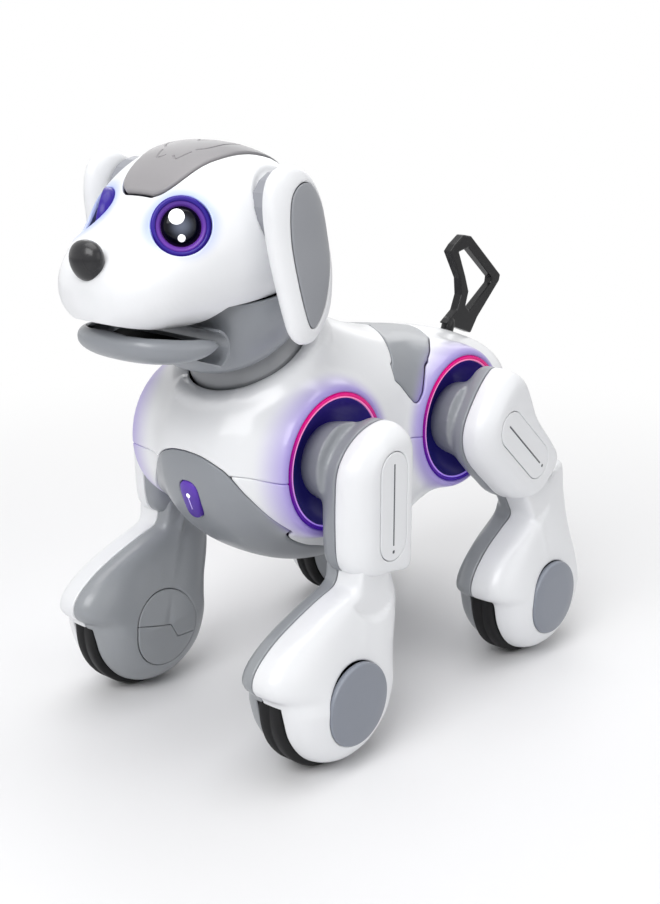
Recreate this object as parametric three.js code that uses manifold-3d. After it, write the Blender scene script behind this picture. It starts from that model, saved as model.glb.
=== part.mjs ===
// Robot dog toy, in millimetres.
// It stands on the plane z = 0 and faces -Y. Its own left side is +X.
import * as THREE from 'three';
import { mergeVertices } from 'three/addons/utils/BufferGeometryUtils.js';
import Module from 'manifold-3d';

const wasm = await Module();
wasm.setup();

// General sizes
const wall = 2.4;
const clearance = 0.35;
const overrun = 6;
const pinRadius = 4;
const tolerance = 0.08;
const ringPoints = 18;
const coarsePoints = 12;
const pinPoints = 10;

// Torso: its box, the height of the seam between its halves, and the collar round the neck
const torsoFront = -98;
const torsoLength = 257;
const torsoFloor = 80.5;
const torsoHeight = 141;
const torsoHalfWidth = 54;
const seamHeight = torsoFloor + torsoHeight * 0.4858;
const neckY = torsoFront + torsoLength * 0.179;
const neckZ = torsoFloor + torsoHeight * 0.8872;
const neckTilt = THREE.MathUtils.degToRad(29);
const collarBore = 32.5;
const collarRadius = 43;
const collarDepth = 15;
const neckRadius = 25.2;

// Hips: four bosses on the torso, each with a light ring and a cup
const hipSpacing = torsoLength * 0.4222;
const hipMiddleY = torsoFront + torsoLength * 0.421;
const hipHeight = torsoFloor + torsoHeight * 0.5057;
const ringPlane = torsoHalfWidth * 1.0556;
const ringRadius = 36;
const ringWidth = 4;
const ringDepth = 4;
const hipCupDepth = 12;
const hipShaftRadius = 8;
const bossRim = 3;

// Legs: places of the wheels and the knees, and sizes of the thighs and shins
const wheelRadius = 41;
const wheelWidth = 15;
const wheelAhead = 27.4;
const wheelBehind = 45.4;
const footOut = 14;
const footMiddleX = ringPlane + footOut;
const footHalfWidth = 26;
const footReach = 38;
const footSplit = 3;
const kneeBarrelRadius = 15;
const kneeDropFront = 51;
const kneeDropRear = 54.5;
const rearThighSwing = THREE.MathUtils.degToRad(42);
const thighHalfWidth = 22;
const thighTopFront = 29;
const thighTopRear = 33;
const thighEndFront = 54;
const thighEndRear = 62;
const thighGap = 2.5;
const thighInnerDepth = 12;
const thighCoverDepth = 16.5;
const thighInnerX = ringPlane + thighGap;
const thighSplitX = thighInnerX + thighInnerDepth;
const thighFaceX = thighSplitX + thighCoverDepth;
const thighSetBackFront = 3.3;
const thighSetBackRear = 0.8;
const thighRounding = 15;
const hubCapRadius = 22;
const hubCapDepth = 2.6;
const hubCapDrop = 3;

// Head: its box, the eyes, the nose, the ears, the jaw, the pin it nods on and its crown cap
const headLength = 136;
const headHeight = 86;
const headHalfWidth = 55;
const headFront = neckY - headLength * 0.7647;
const headFloor = neckZ + headHeight * 0.2314;
const nodHeight = 24;
const nodPinReach = headHalfWidth * 0.691;
const eyeRadius = 14;
const eyeX = headHalfWidth * 0.509;
const eyeY = headFront + headLength * 0.2618;
const eyeZ = headFloor + headHeight * 0.6023;
const eyeTurn = THREE.MathUtils.degToRad(48);
const eyeLift = THREE.MathUtils.degToRad(12);
const noseWidth = 20;
const noseHeight = 19;
const noseDepth = 13;
const noseY = headFront + headLength * 0.0184;
const noseZ = headFloor + headHeight * 0.4314;
const earLength = 83;
const earHalfDepth = 19;
const earHalfThickness = 7.5;
const earX = headHalfWidth * 1.1455;
const earY = headFront + headLength * 0.5331;
const earPivotY = headFront + headLength * 0.5956;
const earPivotZ = headFloor + headHeight * 0.657;
const earTipZ = earPivotZ - earLength * 0.7289;
const earSocketRadius = 19;
const jawLength = 40;
const jawHeight = headHeight * 0.2151;
const jawHalfWidth = headHalfWidth * 0.7;
const jawFront = headFront + headLength * 0.0662;
const jawFloor = headFloor - headHeight * 0.1686;
const jawHingeY = jawFront + jawLength - pinRadius * 0.75;
const jawHingeZ = jawFloor + jawHeight * 0.4054;
const crownFront = headFront + headLength * 0.2574;
const crownLength = headLength * 0.6912;
const crownHalfWidth = headHalfWidth * 0.5455;

// Tail: an open loop on a stem
const tailY = torsoFront + torsoLength * 0.8716;
const tailZ = torsoFloor + torsoHeight * 0.7482;
const tailLean = THREE.MathUtils.degToRad(20);
const tailThickness = 6;
const tailHeight = 56;

// Chest button
const buttonZ = torsoFloor + torsoHeight * 0.3617;
const buttonWidth = 16;
const buttonHeight = 22;
const buttonTravel = 1.2;

// Things inside
const batteryWidth = torsoHalfWidth * 0.8148;
const batteryLength = torsoLength * 0.179;
const batteryHeight = torsoHeight * 0.1986;
const doorY = torsoFront + torsoLength * 0.4358;
const boardWidth = torsoHalfWidth * 0.9259;
const boardLength = torsoLength * 0.2724;
const gearboxHalfWidth = torsoHalfWidth * 0.5556;
const gearboxLength = torsoLength * 0.1712;
const gearboxHeight = torsoHeight * 0.2695;
const speakerRadius = torsoHeight * 0.1135;
const speakerDepth = torsoLength * 0.0428;

const colours = {
  white: 0xf2f3f5,
  grey: 0x868c95,
  pale: 0xb5b5b8,
  dark: 0x2b2d31,
  black: 0x0c0c0e,
  indigo: 0x2a2390,
  violet: 0x6a3fb4,
  magenta: 0xd81b84,
  green: 0x1d6b3a,
  cream: 0xd8d4c6,
};

const group = new THREE.Group();
const dog = new THREE.Group();
group.add(dog);

// Solids

function toSolid(geometry) {
  const bare = geometry.clone();
  bare.deleteAttribute('normal');
  bare.deleteAttribute('uv');
  const merged = mergeVertices(bare);
  const mesh = new wasm.Mesh({
    numProp: 3,
    vertProperties: Float32Array.from(merged.attributes.position.array),
    triVerts: Uint32Array.from(merged.index.array),
  });
  return new wasm.Manifold(mesh);
}

function toGeometry(solid) {
  const mesh = solid.getMesh();
  const geometry = new THREE.BufferGeometry();
  geometry.setAttribute('position', new THREE.BufferAttribute(Float32Array.from(mesh.vertProperties), 3));
  geometry.setIndex(new THREE.BufferAttribute(Uint32Array.from(mesh.triVerts), 1));
  return geometry;
}

function signedVolume(points, faces) {
  let volume = 0;
  const cross = new THREE.Vector3();
  for (const [a, b, c] of faces) {
    volume += points[a].dot(cross.crossVectors(points[b], points[c])) / 6;
  }
  return volume;
}

function solidOf(points, faces) {
  const turned = signedVolume(points, faces) < 0;
  const mesh = new wasm.Mesh({
    numProp: 3,
    vertProperties: Float32Array.from(points.flatMap((p) => [p.x, p.y, p.z])),
    triVerts: Uint32Array.from(faces.flatMap(([a, b, c]) => (turned ? [a, c, b] : [a, b, c]))),
  });
  return new wasm.Manifold(mesh);
}

// Skin over rings that have the same number of points, closed by a fan at both ends
function loft(rings) {
  const count = rings[0].length;
  const points = rings.flat();
  const faces = [];
  for (let k = 0; k + 1 < rings.length; k += 1) {
    for (let i = 0; i < count; i += 1) {
      const a = k * count + i;
      const b = k * count + ((i + 1) % count);
      faces.push([a, b, b + count], [a, b + count, a + count]);
    }
  }
  for (const [ring, first, turned] of [[rings[0], 0, true], [rings.at(-1), points.length - count, false]]) {
    const middle = new THREE.Vector3();
    ring.forEach((point) => middle.add(point));
    points.push(middle.divideScalar(count));
    const hub = points.length - 1;
    for (let i = 0; i < count; i += 1) {
      const a = first + i;
      const b = first + ((i + 1) % count);
      faces.push(turned ? [hub, b, a] : [hub, a, b]);
    }
  }
  return solidOf(points, faces);
}

function moved(solid, matrix) {
  const geometry = toGeometry(solid);
  geometry.applyMatrix4(matrix);
  const points = [];
  const place = geometry.attributes.position;
  for (let i = 0; i < place.count; i += 1) {
    points.push(new THREE.Vector3().fromBufferAttribute(place, i));
  }
  const faces = [];
  for (let i = 0; i < geometry.index.count; i += 3) {
    faces.push([geometry.index.getX(i), geometry.index.getX(i + 1), geometry.index.getX(i + 2)]);
  }
  return solidOf(points, faces);
}

function joined(...solids) {
  return solids.reduce((sum, solid) => sum.add(solid));
}

function cut(solid, ...tools) {
  return tools.reduce((rest, tool) => rest.subtract(tool), solid);
}

function box(x0, x1, y0, y1, z0, z1) {
  const geometry = new THREE.BoxGeometry(x1 - x0, y1 - y0, z1 - z0);
  geometry.translate((x0 + x1) / 2, (y0 + y1) / 2, (z0 + z1) / 2);
  return toSolid(geometry);
}

function pointsRound(radius) {
  return radius > hipShaftRadius + clearance ? ringPoints : pinPoints;
}

// Radius of a part that turns freely in a bore whose round wall is made of flats
function turnsIn(radius, sides = ringPoints) {
  return radius * Math.cos(Math.PI / sides) - clearance;
}

// Radius of a many-sided round whose flats lie at the given distance from its middle
function overFlats(radius, sides = ringPoints) {
  return radius / Math.cos(Math.PI / sides);
}

// Round bar along X
function barX(radius, x0, x1, y, z, sides = pointsRound(radius)) {
  const geometry = new THREE.CylinderGeometry(radius, radius, x1 - x0, sides);
  geometry.rotateZ(Math.PI / 2);
  geometry.translate((x0 + x1) / 2, y, z);
  return toSolid(geometry);
}

// Turned body on the X axis: the profile lists [x, radius]
function turnedX(profile, y, z, sides = ringPoints) {
  return loft(profile.map(([x, radius]) => circleX(x, radius, y, z, sides)));
}

function circleX(x, radius, y, z, sides) {
  return Array.from({ length: sides }, (_, i) => {
    const turn = (2 * Math.PI * i) / sides;
    return new THREE.Vector3(x, y + radius * Math.cos(turn), z + radius * Math.sin(turn));
  });
}

// Side-view outline, drawn along X
function sidePrism(outline, x0, x1) {
  const shape = new THREE.Shape(outline.map(([y, z]) => new THREE.Vector2(y, z)));
  const geometry = new THREE.ExtrudeGeometry(shape, { depth: x1 - x0, bevelEnabled: false });
  geometry.applyMatrix4(new THREE.Matrix4().makeBasis(
    new THREE.Vector3(0, 1, 0), new THREE.Vector3(0, 0, 1), new THREE.Vector3(1, 0, 0)));
  geometry.translate(x0, 0, 0);
  return toSolid(geometry);
}

// Plan-view outline, drawn along Z
function planPrism(outline, z0, z1) {
  const shape = new THREE.Shape(outline.map(([x, y]) => new THREE.Vector2(x, y)));
  const geometry = new THREE.ExtrudeGeometry(shape, { depth: z1 - z0, bevelEnabled: false });
  geometry.translate(0, 0, z0);
  return toSolid(geometry);
}

function power(value, exponent) {
  return Math.sign(value) * Math.abs(value) ** exponent;
}

// Smooth curve through rows of numbers: the value of every column at place t, from 0 to 1
function between(rows, t) {
  const place = t * (rows.length - 1);
  const k = Math.min(Math.floor(place), rows.length - 2);
  const u = place - k;
  const row = (i) => rows[Math.max(0, Math.min(rows.length - 1, i))];
  return rows[0].map((_, c) => {
    const [a, b, d, e] = [row(k - 1)[c], row(k)[c], row(k + 1)[c], row(k + 2)[c]];
    return b + (u * (d - a + u * (2 * a - 5 * b + 4 * d - e + u * (3 * (b - d) + e - a)))) / 2;
  });
}

// Ring in a plane that holds X, from a low point to a high point of the side view
function rib([lowY, lowZ, highY, highZ, halfWidth, squareness], inset, sides = ringPoints) {
  const reach = Math.hypot(highY - lowY, highZ - lowZ);
  const shrink = Math.max(1 - (2 * inset) / reach, clearance / reach);
  const half = Math.max(halfWidth - inset, clearance);
  return Array.from({ length: sides }, (_, i) => {
    const turn = (2 * Math.PI * i) / sides;
    const along = (power(Math.cos(turn), 2 / squareness) * shrink) / 2;
    return new THREE.Vector3(
      half * power(Math.sin(turn), 2 / squareness),
      (lowY + highY) / 2 + (highY - lowY) * along,
      (lowZ + highZ) / 2 + (highZ - lowZ) * along);
  });
}

function ribLoft(rows, steps, inset = 0, sides = ringPoints) {
  return loft(Array.from({ length: steps + 1 }, (_, k) => rib(between(rows, k / steps), inset, sides)));
}

function mirrored(solid) {
  return moved(solid, new THREE.Matrix4().makeScale(-1, 1, 1));
}

function addPiece(name, solid, colour, roughness = 0.45, metalness = 0) {
  const material = new THREE.MeshStandardMaterial({ color: colours[colour], roughness, metalness });
  const mesh = new THREE.Mesh(toGeometry(solid.simplify(tolerance)), material);
  mesh.name = name;
  dog.add(mesh);
}

// Torso

// Low y, low z, high y, high z and half width of each rib, from the collar to the rump
const torsoRibShares = [
  [0.048, 0.735, 0.331, 0.997, 0.683, 2.1],
  [0.027, 0.676, 0.372, 0.965, 0.783, 2.2],
  [0.008, 0.585, 0.426, 0.923, 0.883, 2.4],
  [0.004, 0.465, 0.488, 0.884, 0.950, 2.6],
  [0.023, 0.338, 0.550, 0.859, 0.992, 2.7],
  [0.070, 0.211, 0.609, 0.842, 1.000, 2.7],
  [0.155, 0.092, 0.667, 0.824, 0.983, 2.7],
  [0.267, 0.021, 0.729, 0.806, 0.967, 2.7],
  [0.403, 0.020, 0.795, 0.782, 0.967, 2.6],
  [0.558, 0.080, 0.860, 0.745, 0.933, 2.4],
  [0.705, 0.150, 0.919, 0.700, 0.850, 2.4],
  [0.829, 0.235, 0.961, 0.640, 0.700, 2.4],
  [0.919, 0.268, 0.988, 0.570, 0.500, 2.4],
  [0.969, 0.380, 1.000, 0.521, 0.267, 2.2],
];
const torsoRows = torsoRibShares.map(([lowY, lowZ, highY, highZ, width, squareness]) => [
  torsoFront + lowY * torsoLength,
  torsoFloor + lowZ * torsoHeight,
  torsoFront + highY * torsoLength,
  torsoFloor + highZ * torsoHeight,
  width * torsoHalfWidth,
  squareness,
]);
const torsoSteps = 12;

const hips = [
  { name: 'fl', side: 1, y: hipMiddleY - hipSpacing / 2 },
  { name: 'fr', side: -1, y: hipMiddleY - hipSpacing / 2 },
  { name: 'rl', side: 1, y: hipMiddleY + hipSpacing / 2 },
  { name: 'rr', side: -1, y: hipMiddleY + hipSpacing / 2 },
];

function hipBoss(y, inset) {
  const rim = ringRadius + bossRim - inset;
  const face = ringPlane - inset;
  return turnedX([[torsoHalfWidth * 0.7, rim], [ringPlane - ringDepth * 1.5, rim + bossRim],
    [ringPlane - ringDepth / 2, rim + clearance], [face, rim - clearance * 2]], y, hipHeight);
}

function hipBosses(inset) {
  return joined(...hips.map((hip) => {
    const boss = hipBoss(hip.y, inset);
    return hip.side > 0 ? boss : mirrored(boss);
  }));
}

function torsoBody(inset) {
  return ribLoft(torsoRows, torsoSteps, inset);
}

const neckFrame = new THREE.Matrix4().makeRotationX(neckTilt)
  .setPosition(new THREE.Vector3(0, neckY, neckZ));

// Turned body on the neck's axis: the profile lists [radius, height over the collar]
function neckTurned(profile) {
  const geometry = new THREE.LatheGeometry(
    profile.map(([radius, height]) => new THREE.Vector2(radius, height)), ringPoints);
  geometry.rotateX(Math.PI / 2);
  geometry.applyMatrix4(neckFrame);
  return toSolid(geometry);
}

// The grey plate under the chest: its upper edge in the side view
const plateEdgeShares = [
  [0.006, 0.550], [0.012, 0.528], [0.027, 0.486], [0.058, 0.400], [0.097, 0.294],
  [0.156, 0.202], [0.195, 0.152], [0.241, 0.125], [0.320, 0.060],
];

function plateCutter(grow) {
  const edge = plateEdgeShares.map(([y, z]) => [
    torsoFront + y * torsoLength + grow, torsoFloor + z * torsoHeight + grow]);
  const outline = [
    [torsoFront - overrun, edge[0][1]],
    ...edge,
    [edge.at(-1)[0], torsoFloor - overrun],
    [torsoFront - overrun, torsoFloor - overrun],
  ];
  return sidePrism(outline, -torsoHalfWidth - overrun, torsoHalfWidth + overrun);
}

// The grey saddle: its lower edge in the side view, then half its plan, which sweeps forward at the sides
const saddleLowShares = [
  [0.400, 0.755], [0.440, 0.706], [0.482, 0.620], [0.514, 0.706], [0.576, 0.775], [0.800, 0.785],
];
const saddleFrontShares = [[0.576, 0.00], [0.536, 0.22], [0.498, 0.46], [0.447, 0.80], [0.428, 0.90], [0.420, 1.12]];
const saddleRearShares = [[0.535, 1.12], [0.540, 0.94], [0.576, 0.81], [0.646, 0.54], [0.681, 0.33], [0.724, 0.00]];

function saddleCutter(grow) {
  const top = torsoFloor + 2 * torsoHeight;
  const low = saddleLowShares.map(([y, z]) => [
    torsoFront + y * torsoLength, torsoFloor + z * torsoHeight - grow]);
  const sides = sidePrism([...low, [low.at(-1)[0], top], [low[0][0], top]],
    -torsoHalfWidth - overrun, torsoHalfWidth + overrun);
  const edge = (shares, shift) => shares.map(([y, x]) => [
    x * torsoHalfWidth + (x > 0 ? grow : 0), torsoFront + y * torsoLength + shift]);
  const half = [...edge(saddleFrontShares, -grow), ...edge(saddleRearShares, grow)];
  const other = half.slice(1, -1).reverse().map(([x, y]) => [-x, y]);
  return sides.intersect(planPrism([...half, ...other], torsoFloor, top));
}

const doorWidth = batteryWidth + 2 * wall;
const doorLength = batteryLength + 2 * wall;

function batteryDoor(grow) {
  return box(-doorWidth / 2 - grow, doorWidth / 2 + grow, doorY - doorLength / 2 - grow,
    doorY + doorLength / 2 + grow, torsoFloor - wall / 3 - grow, torsoFloor + wall + grow);
}

const buttonSlope = Math.atan2(
  torsoRows[4][0] - torsoRows[3][0], torsoRows[3][1] - torsoRows[4][1]);
const buttonShare = (torsoRows[3][1] - buttonZ) / (torsoRows[3][1] - torsoRows[4][1]);
const buttonY = torsoRows[3][0] + (torsoRows[4][0] - torsoRows[3][0]) * buttonShare;
const buttonFrame = new THREE.Matrix4().makeRotationX(Math.PI / 2 + buttonSlope)
  .setPosition(new THREE.Vector3(0, buttonY, buttonZ));

// Shield outline of the button, as shares of its half width and height
const shieldShares = [
  [0.00, 1.00], [0.62, 0.94], [0.98, 0.62], [0.94, -0.10], [0.60, -0.82], [0.00, -1.00],
  [-0.60, -0.82], [-0.94, -0.10], [-0.98, 0.62], [-0.62, 0.94],
];

function shield(grow, low, high) {
  const outline = shieldShares.map(([x, y]) => [
    x * (buttonWidth / 2 + grow), y * (buttonHeight / 2 + grow)]);
  return moved(planPrism(outline, low, high), buttonFrame);
}

function makeTorso() {
  const outer = joined(torsoBody(0), hipBosses(0));
  const collar = neckTurned([[collarBore - wall, -collarDepth], [collarRadius, -collarDepth],
    [collarRadius, -collarDepth / 2], [collarRadius - wall / 2, -wall], [collarRadius - wall * 2, 0],
    [collarBore, wall / 4], [collarBore - wall, 0], [collarBore - wall, -collarDepth]]);
  const flangeRoom = neckTurned([[0, -wall * 5 - clearance], [collarBore + wall + clearance, -wall * 5 - clearance],
    [collarBore + wall + clearance, -wall - clearance * 3], [0, -wall - clearance * 3]]);
  let shell = cut(joined(cut(outer, ribLoft(torsoRows, torsoSteps / 2, wall, coarsePoints)), collar), flangeRoom);
  const bore = neckTurned([[0, -overrun * 3], [collarBore, -overrun * 3], [collarBore, overrun * 3],
    [0, overrun * 3]]);
  shell = cut(shell, bore);
  for (const hip of hips) {
    const inside = barX(ringRadius - ringWidth + clearance, torsoHalfWidth / 2, ringPlane + overrun,
      hip.y, hipHeight);
    const seat = barX(ringRadius + clearance, ringPlane - ringDepth - clearance, ringPlane + overrun,
      hip.y, hipHeight);
    const tools = joined(inside, seat);
    shell = cut(shell, hip.side > 0 ? tools : mirrored(tools));
  }
  const seamHalf = clearance / 2;
  const reach = torsoLength;
  const above = box(-reach, reach, -reach, reach, seamHeight + seamHalf, torsoFloor + 2 * torsoHeight);
  const below = box(-reach, reach, -reach, reach, torsoFloor - overrun, seamHeight - seamHalf);
  const tailBore = moved(barZ(pinRadius + clearance, -overrun * 2, overrun), tailFrame);
  const plate = cut(shell.intersect(plateCutter(0)), shield(clearance, -overrun * 2, overrun));
  const saddleRecess = cut(saddleCutter(clearance), torsoBody(wall / 2), hipBosses(0));
  const saddle = cut(torsoBody(-clearance), torsoBody(wall / 2 - clearance), hipBosses(-clearance))
    .intersect(saddleCutter(0));
  addPiece('torso_upper_shell',
    largest(cut(shell, plateCutter(clearance), saddleRecess, tailBore).intersect(above)), 'white', 0.3);
  const doorHole = batteryDoor(clearance);
  const well = box(-doorWidth / 2 - wall, doorWidth / 2 + wall, doorY - doorLength / 2 - wall,
    doorY + doorLength / 2 + wall, torsoFloor, torsoFloor + batteryHeight / 2);
  const wellRoom = box(-doorWidth / 2 - clearance, doorWidth / 2 + clearance, doorY - doorLength / 2 - clearance,
    doorY + doorLength / 2 + clearance, torsoFloor - wall, torsoFloor + batteryHeight);
  addPiece('torso_lower_shell', largest(
    cut(joined(shell, well), plateCutter(clearance), doorHole, wellRoom).intersect(below)),
    'white', 0.3);
  addPiece('chest_plate', largest(plate), 'grey');
  addPiece('back_saddle', largest(saddle), 'grey');
  addPiece('battery_door', batteryDoor(0), 'white', 0.4);
}

function barZ(radius, z0, z1) {
  const geometry = new THREE.CylinderGeometry(radius, radius, z1 - z0, pointsRound(radius));
  geometry.rotateX(Math.PI / 2);
  geometry.translate(0, 0, (z0 + z1) / 2);
  return toSolid(geometry);
}

// Tail

const tailFrame = new THREE.Matrix4().makeRotationX(-tailLean)
  .setPosition(new THREE.Vector3(0, tailY, tailZ));
// Loop outline and its hole, as shares of the tail's height, from the stem's foot
const tailOutlineShares = [
  [-0.09, 0.04], [0.11, 0.16], [0.18, 0.32], [0.16, 0.50], [-0.04, 0.82], [0.04, 0.89],
  [0.20, 0.98], [0.34, 0.95], [0.93, 0.45], [0.91, 0.38], [0.50, 0.02], [0.38, -0.14],
];
const tailHoleShares = [
  [0.12, 0.80], [0.29, 0.83], [0.76, 0.44], [0.75, 0.38],
  [0.34, 0.12], [0.27, 0.19], [0.32, 0.34], [0.25, 0.52],
];

function makeTail() {
  const place = ([y, z]) => [tailY + y * tailHeight, tailZ + overrun / 3 + z * tailHeight];
  const loop = cut(
    sidePrism(tailOutlineShares.map(place), -tailThickness / 2, tailThickness / 2),
    sidePrism(tailHoleShares.map(place), -tailThickness, tailThickness));
  const stem = moved(barZ(pinRadius, -overrun - wall, overrun), tailFrame);
  addPiece('tail', joined(loop, stem), 'black', 0.25);
}

// Chest button

function makeButton() {
  const cap = shield(0, -wall - buttonTravel * 6.5, buttonTravel);
  const flange = shield(buttonTravel, -wall - buttonTravel * 7, -wall - buttonTravel * 6);
  addPiece('chest_button', joined(cap, flange), 'violet', 0.25);
}

// Light rings and cups round the hips

function makeHipRings() {
  for (const hip of hips) {
    const place = (solid) => (hip.side > 0 ? solid : mirrored(solid));
    const back = ringPlane - ringDepth;
    const ring = cut(
      barX(ringRadius, back, ringPlane + ringDepth / 8, hip.y, hipHeight),
      barX(ringRadius - ringWidth, back - overrun, ringPlane + overrun, hip.y, hipHeight));
    addPiece('hip_light_ring_' + hip.name, place(ring), 'magenta', 0.3);
    const cupRadius = ringRadius - ringWidth - clearance;
    const cup = cut(
      barX(cupRadius, ringPlane - hipCupDepth, ringPlane - ringDepth / 4, hip.y, hipHeight),
      barX(cupRadius - wall, ringPlane - hipCupDepth + wall, ringPlane + overrun, hip.y, hipHeight, coarsePoints),
      barX(hipShaftRadius + clearance, 0, ringPlane, hip.y, hipHeight));
    addPiece('hip_cup_' + hip.name, place(cup), 'indigo', 0.5);
  }
}

// Things inside the torso

function makeInsides() {
  const batteryFloor = torsoFloor + wall + clearance;
  addPiece('battery_pack', box(-batteryWidth / 2, batteryWidth / 2, doorY - batteryLength / 2,
    doorY + batteryLength / 2, batteryFloor, batteryFloor + batteryHeight), 'dark', 0.6);
  const boardFloor = batteryFloor + batteryHeight + clearance;
  const board = box(-boardWidth / 2, boardWidth / 2, doorY - boardLength / 2, doorY + boardLength / 2,
    boardFloor, boardFloor + wall);
  const chip = box(-boardWidth / 4, boardWidth / 4, doorY - boardWidth / 4, doorY + boardWidth / 4,
    boardFloor + wall / 2, boardFloor + 2 * wall);
  addPiece('main_board', joined(board, chip), 'green', 0.6);
  for (const [name, hip] of [['front', hips[0]], ['rear', hips[2]]]) {
    const body = box(-gearboxHalfWidth, gearboxHalfWidth, hip.y - gearboxLength / 2, hip.y + gearboxLength / 2,
      hipHeight - gearboxHeight / 2, hipHeight + gearboxHeight / 2);
    const sockets = barX(hipShaftRadius + clearance, gearboxHalfWidth / 2, gearboxHalfWidth + overrun,
      hip.y, hipHeight);
    addPiece(name + '_gearbox', cut(body, sockets, mirrored(sockets)), 'cream', 0.6);
  }
  const speakerFront = hips[0].y - gearboxLength / 2 - clearance;
  const speaker = new THREE.CylinderGeometry(speakerRadius, speakerRadius * 0.7, speakerDepth, coarsePoints);
  speaker.rotateX(Math.PI);
  speaker.translate(0, speakerFront - speakerDepth / 2, hipHeight);
  addPiece('speaker', toSolid(speaker), 'dark', 0.6);
}

// Neck

const nodY = neckY - nodHeight * Math.sin(neckTilt);
const nodZ = neckZ + nodHeight * Math.cos(neckTilt);

function makeNeck() {
  const flange = turnsIn(collarBore + wall + clearance);
  const turned = neckTurned([
    [0, -wall * 5], [flange, -wall * 5], [flange, -wall - clearance * 4],
    [turnsIn(collarBore), -wall - clearance * 4], [turnsIn(collarBore), 0],
    [neckRadius, wall / 4], [neckRadius, wall * 4], [neckRadius - wall, wall * 5], [0, wall * 5],
  ]);
  const post = moved(box(-pinRadius * 3, pinRadius * 3, -pinRadius * 1.6, pinRadius * 1.6, 0,
    nodHeight + pinRadius * 1.5), neckFrame);
  const pin = barX(pinRadius, -nodPinReach, nodPinReach, nodY, nodZ);
  addPiece('neck_ring', joined(turned, post, pin), 'pale');
}

// Head

// Low z, high z, half width and squareness at each step from the snout to the back of the head
const headRibShares = [
  [0.000, 0.155, 0.290, 0.160, 2.0],
  [0.020, 0.085, 0.380, 0.380, 2.1],
  [0.070, 0.045, 0.470, 0.560, 2.2],
  [0.140, 0.020, 0.560, 0.690, 2.3],
  [0.230, 0.010, 0.700, 0.785, 2.3],
  [0.335, 0.000, 0.860, 0.875, 2.3],
  [0.450, 0.000, 0.960, 0.955, 2.3],
  [0.570, 0.000, 1.000, 1.000, 2.3],
  [0.690, 0.020, 0.965, 1.000, 2.3],
  [0.800, 0.070, 0.860, 0.910, 2.2],
  [0.895, 0.155, 0.700, 0.745, 2.1],
  [0.965, 0.250, 0.530, 0.500, 2.0],
  [1.000, 0.330, 0.420, 0.220, 2.0],
];
const headRows = headRibShares.map(([y, low, high, width, squareness]) => [
  headFront + y * headLength, headFloor + low * headHeight,
  headFront + y * headLength, headFloor + high * headHeight,
  width * headHalfWidth, squareness,
]);
const headSteps = 12;

// Lower edge of the white head in the side view, front to back
const mouthLineShares = [
  [-0.080, 0.160], [0.050, 0.100], [0.180, 0.070], [0.290, 0.060], [0.350, 0.080], [0.388, 0.150],
  [0.456, 0.155], [0.612, 0.210], [0.850, 0.310], [1.100, 0.400],
];

function mouthLine(drop) {
  return mouthLineShares.map(([y, z]) => [headFront + y * headLength, headFloor + z * headHeight - drop]);
}

function aboveMouth() {
  const top = headFloor + 2 * headHeight;
  const line = mouthLine(0);
  return sidePrism([...line, [line.at(-1)[0], top], [line[0][0], top]],
    -headHalfWidth - overrun, headHalfWidth + overrun);
}

function belowMouth() {
  const floor = headFloor - headHeight;
  const line = mouthLine(clearance);
  return sidePrism([...line, [line.at(-1)[0], floor], [line[0][0], floor]],
    -headHalfWidth - overrun, headHalfWidth + overrun);
}

// Half widths of the crown cap in plan, from its front lobe to its point at the back
const crownShares = [
  [0.000, 0.30], [0.030, 0.48], [0.100, 0.64], [0.240, 0.77], [0.340, 0.87], [0.460, 0.95],
  [0.600, 1.00], [0.760, 0.90], [0.910, 0.55], [1.000, 0.00],
];
function crownPrism(grow) {
  const side = crownShares.map(([y, x]) => [
    x * crownHalfWidth + (x > 0 ? grow : 0), crownFront - grow + y * (crownLength + 2 * grow)]);
  const other = side.slice(0, -1).reverse().map(([x, y]) => [-x, y]);
  return planPrism([...side, ...other], eyeZ, headFloor + 2 * headHeight);
}

function eyeFrame(side) {
  const normal = new THREE.Vector3(side * Math.sin(eyeTurn) * Math.cos(eyeLift),
    -Math.cos(eyeTurn) * Math.cos(eyeLift), Math.sin(eyeLift));
  const turn = new THREE.Quaternion().setFromUnitVectors(new THREE.Vector3(0, 0, 1), normal);
  return new THREE.Matrix4().makeRotationFromQuaternion(turn)
    .setPosition(new THREE.Vector3(side * eyeX, eyeY, eyeZ));
}

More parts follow.
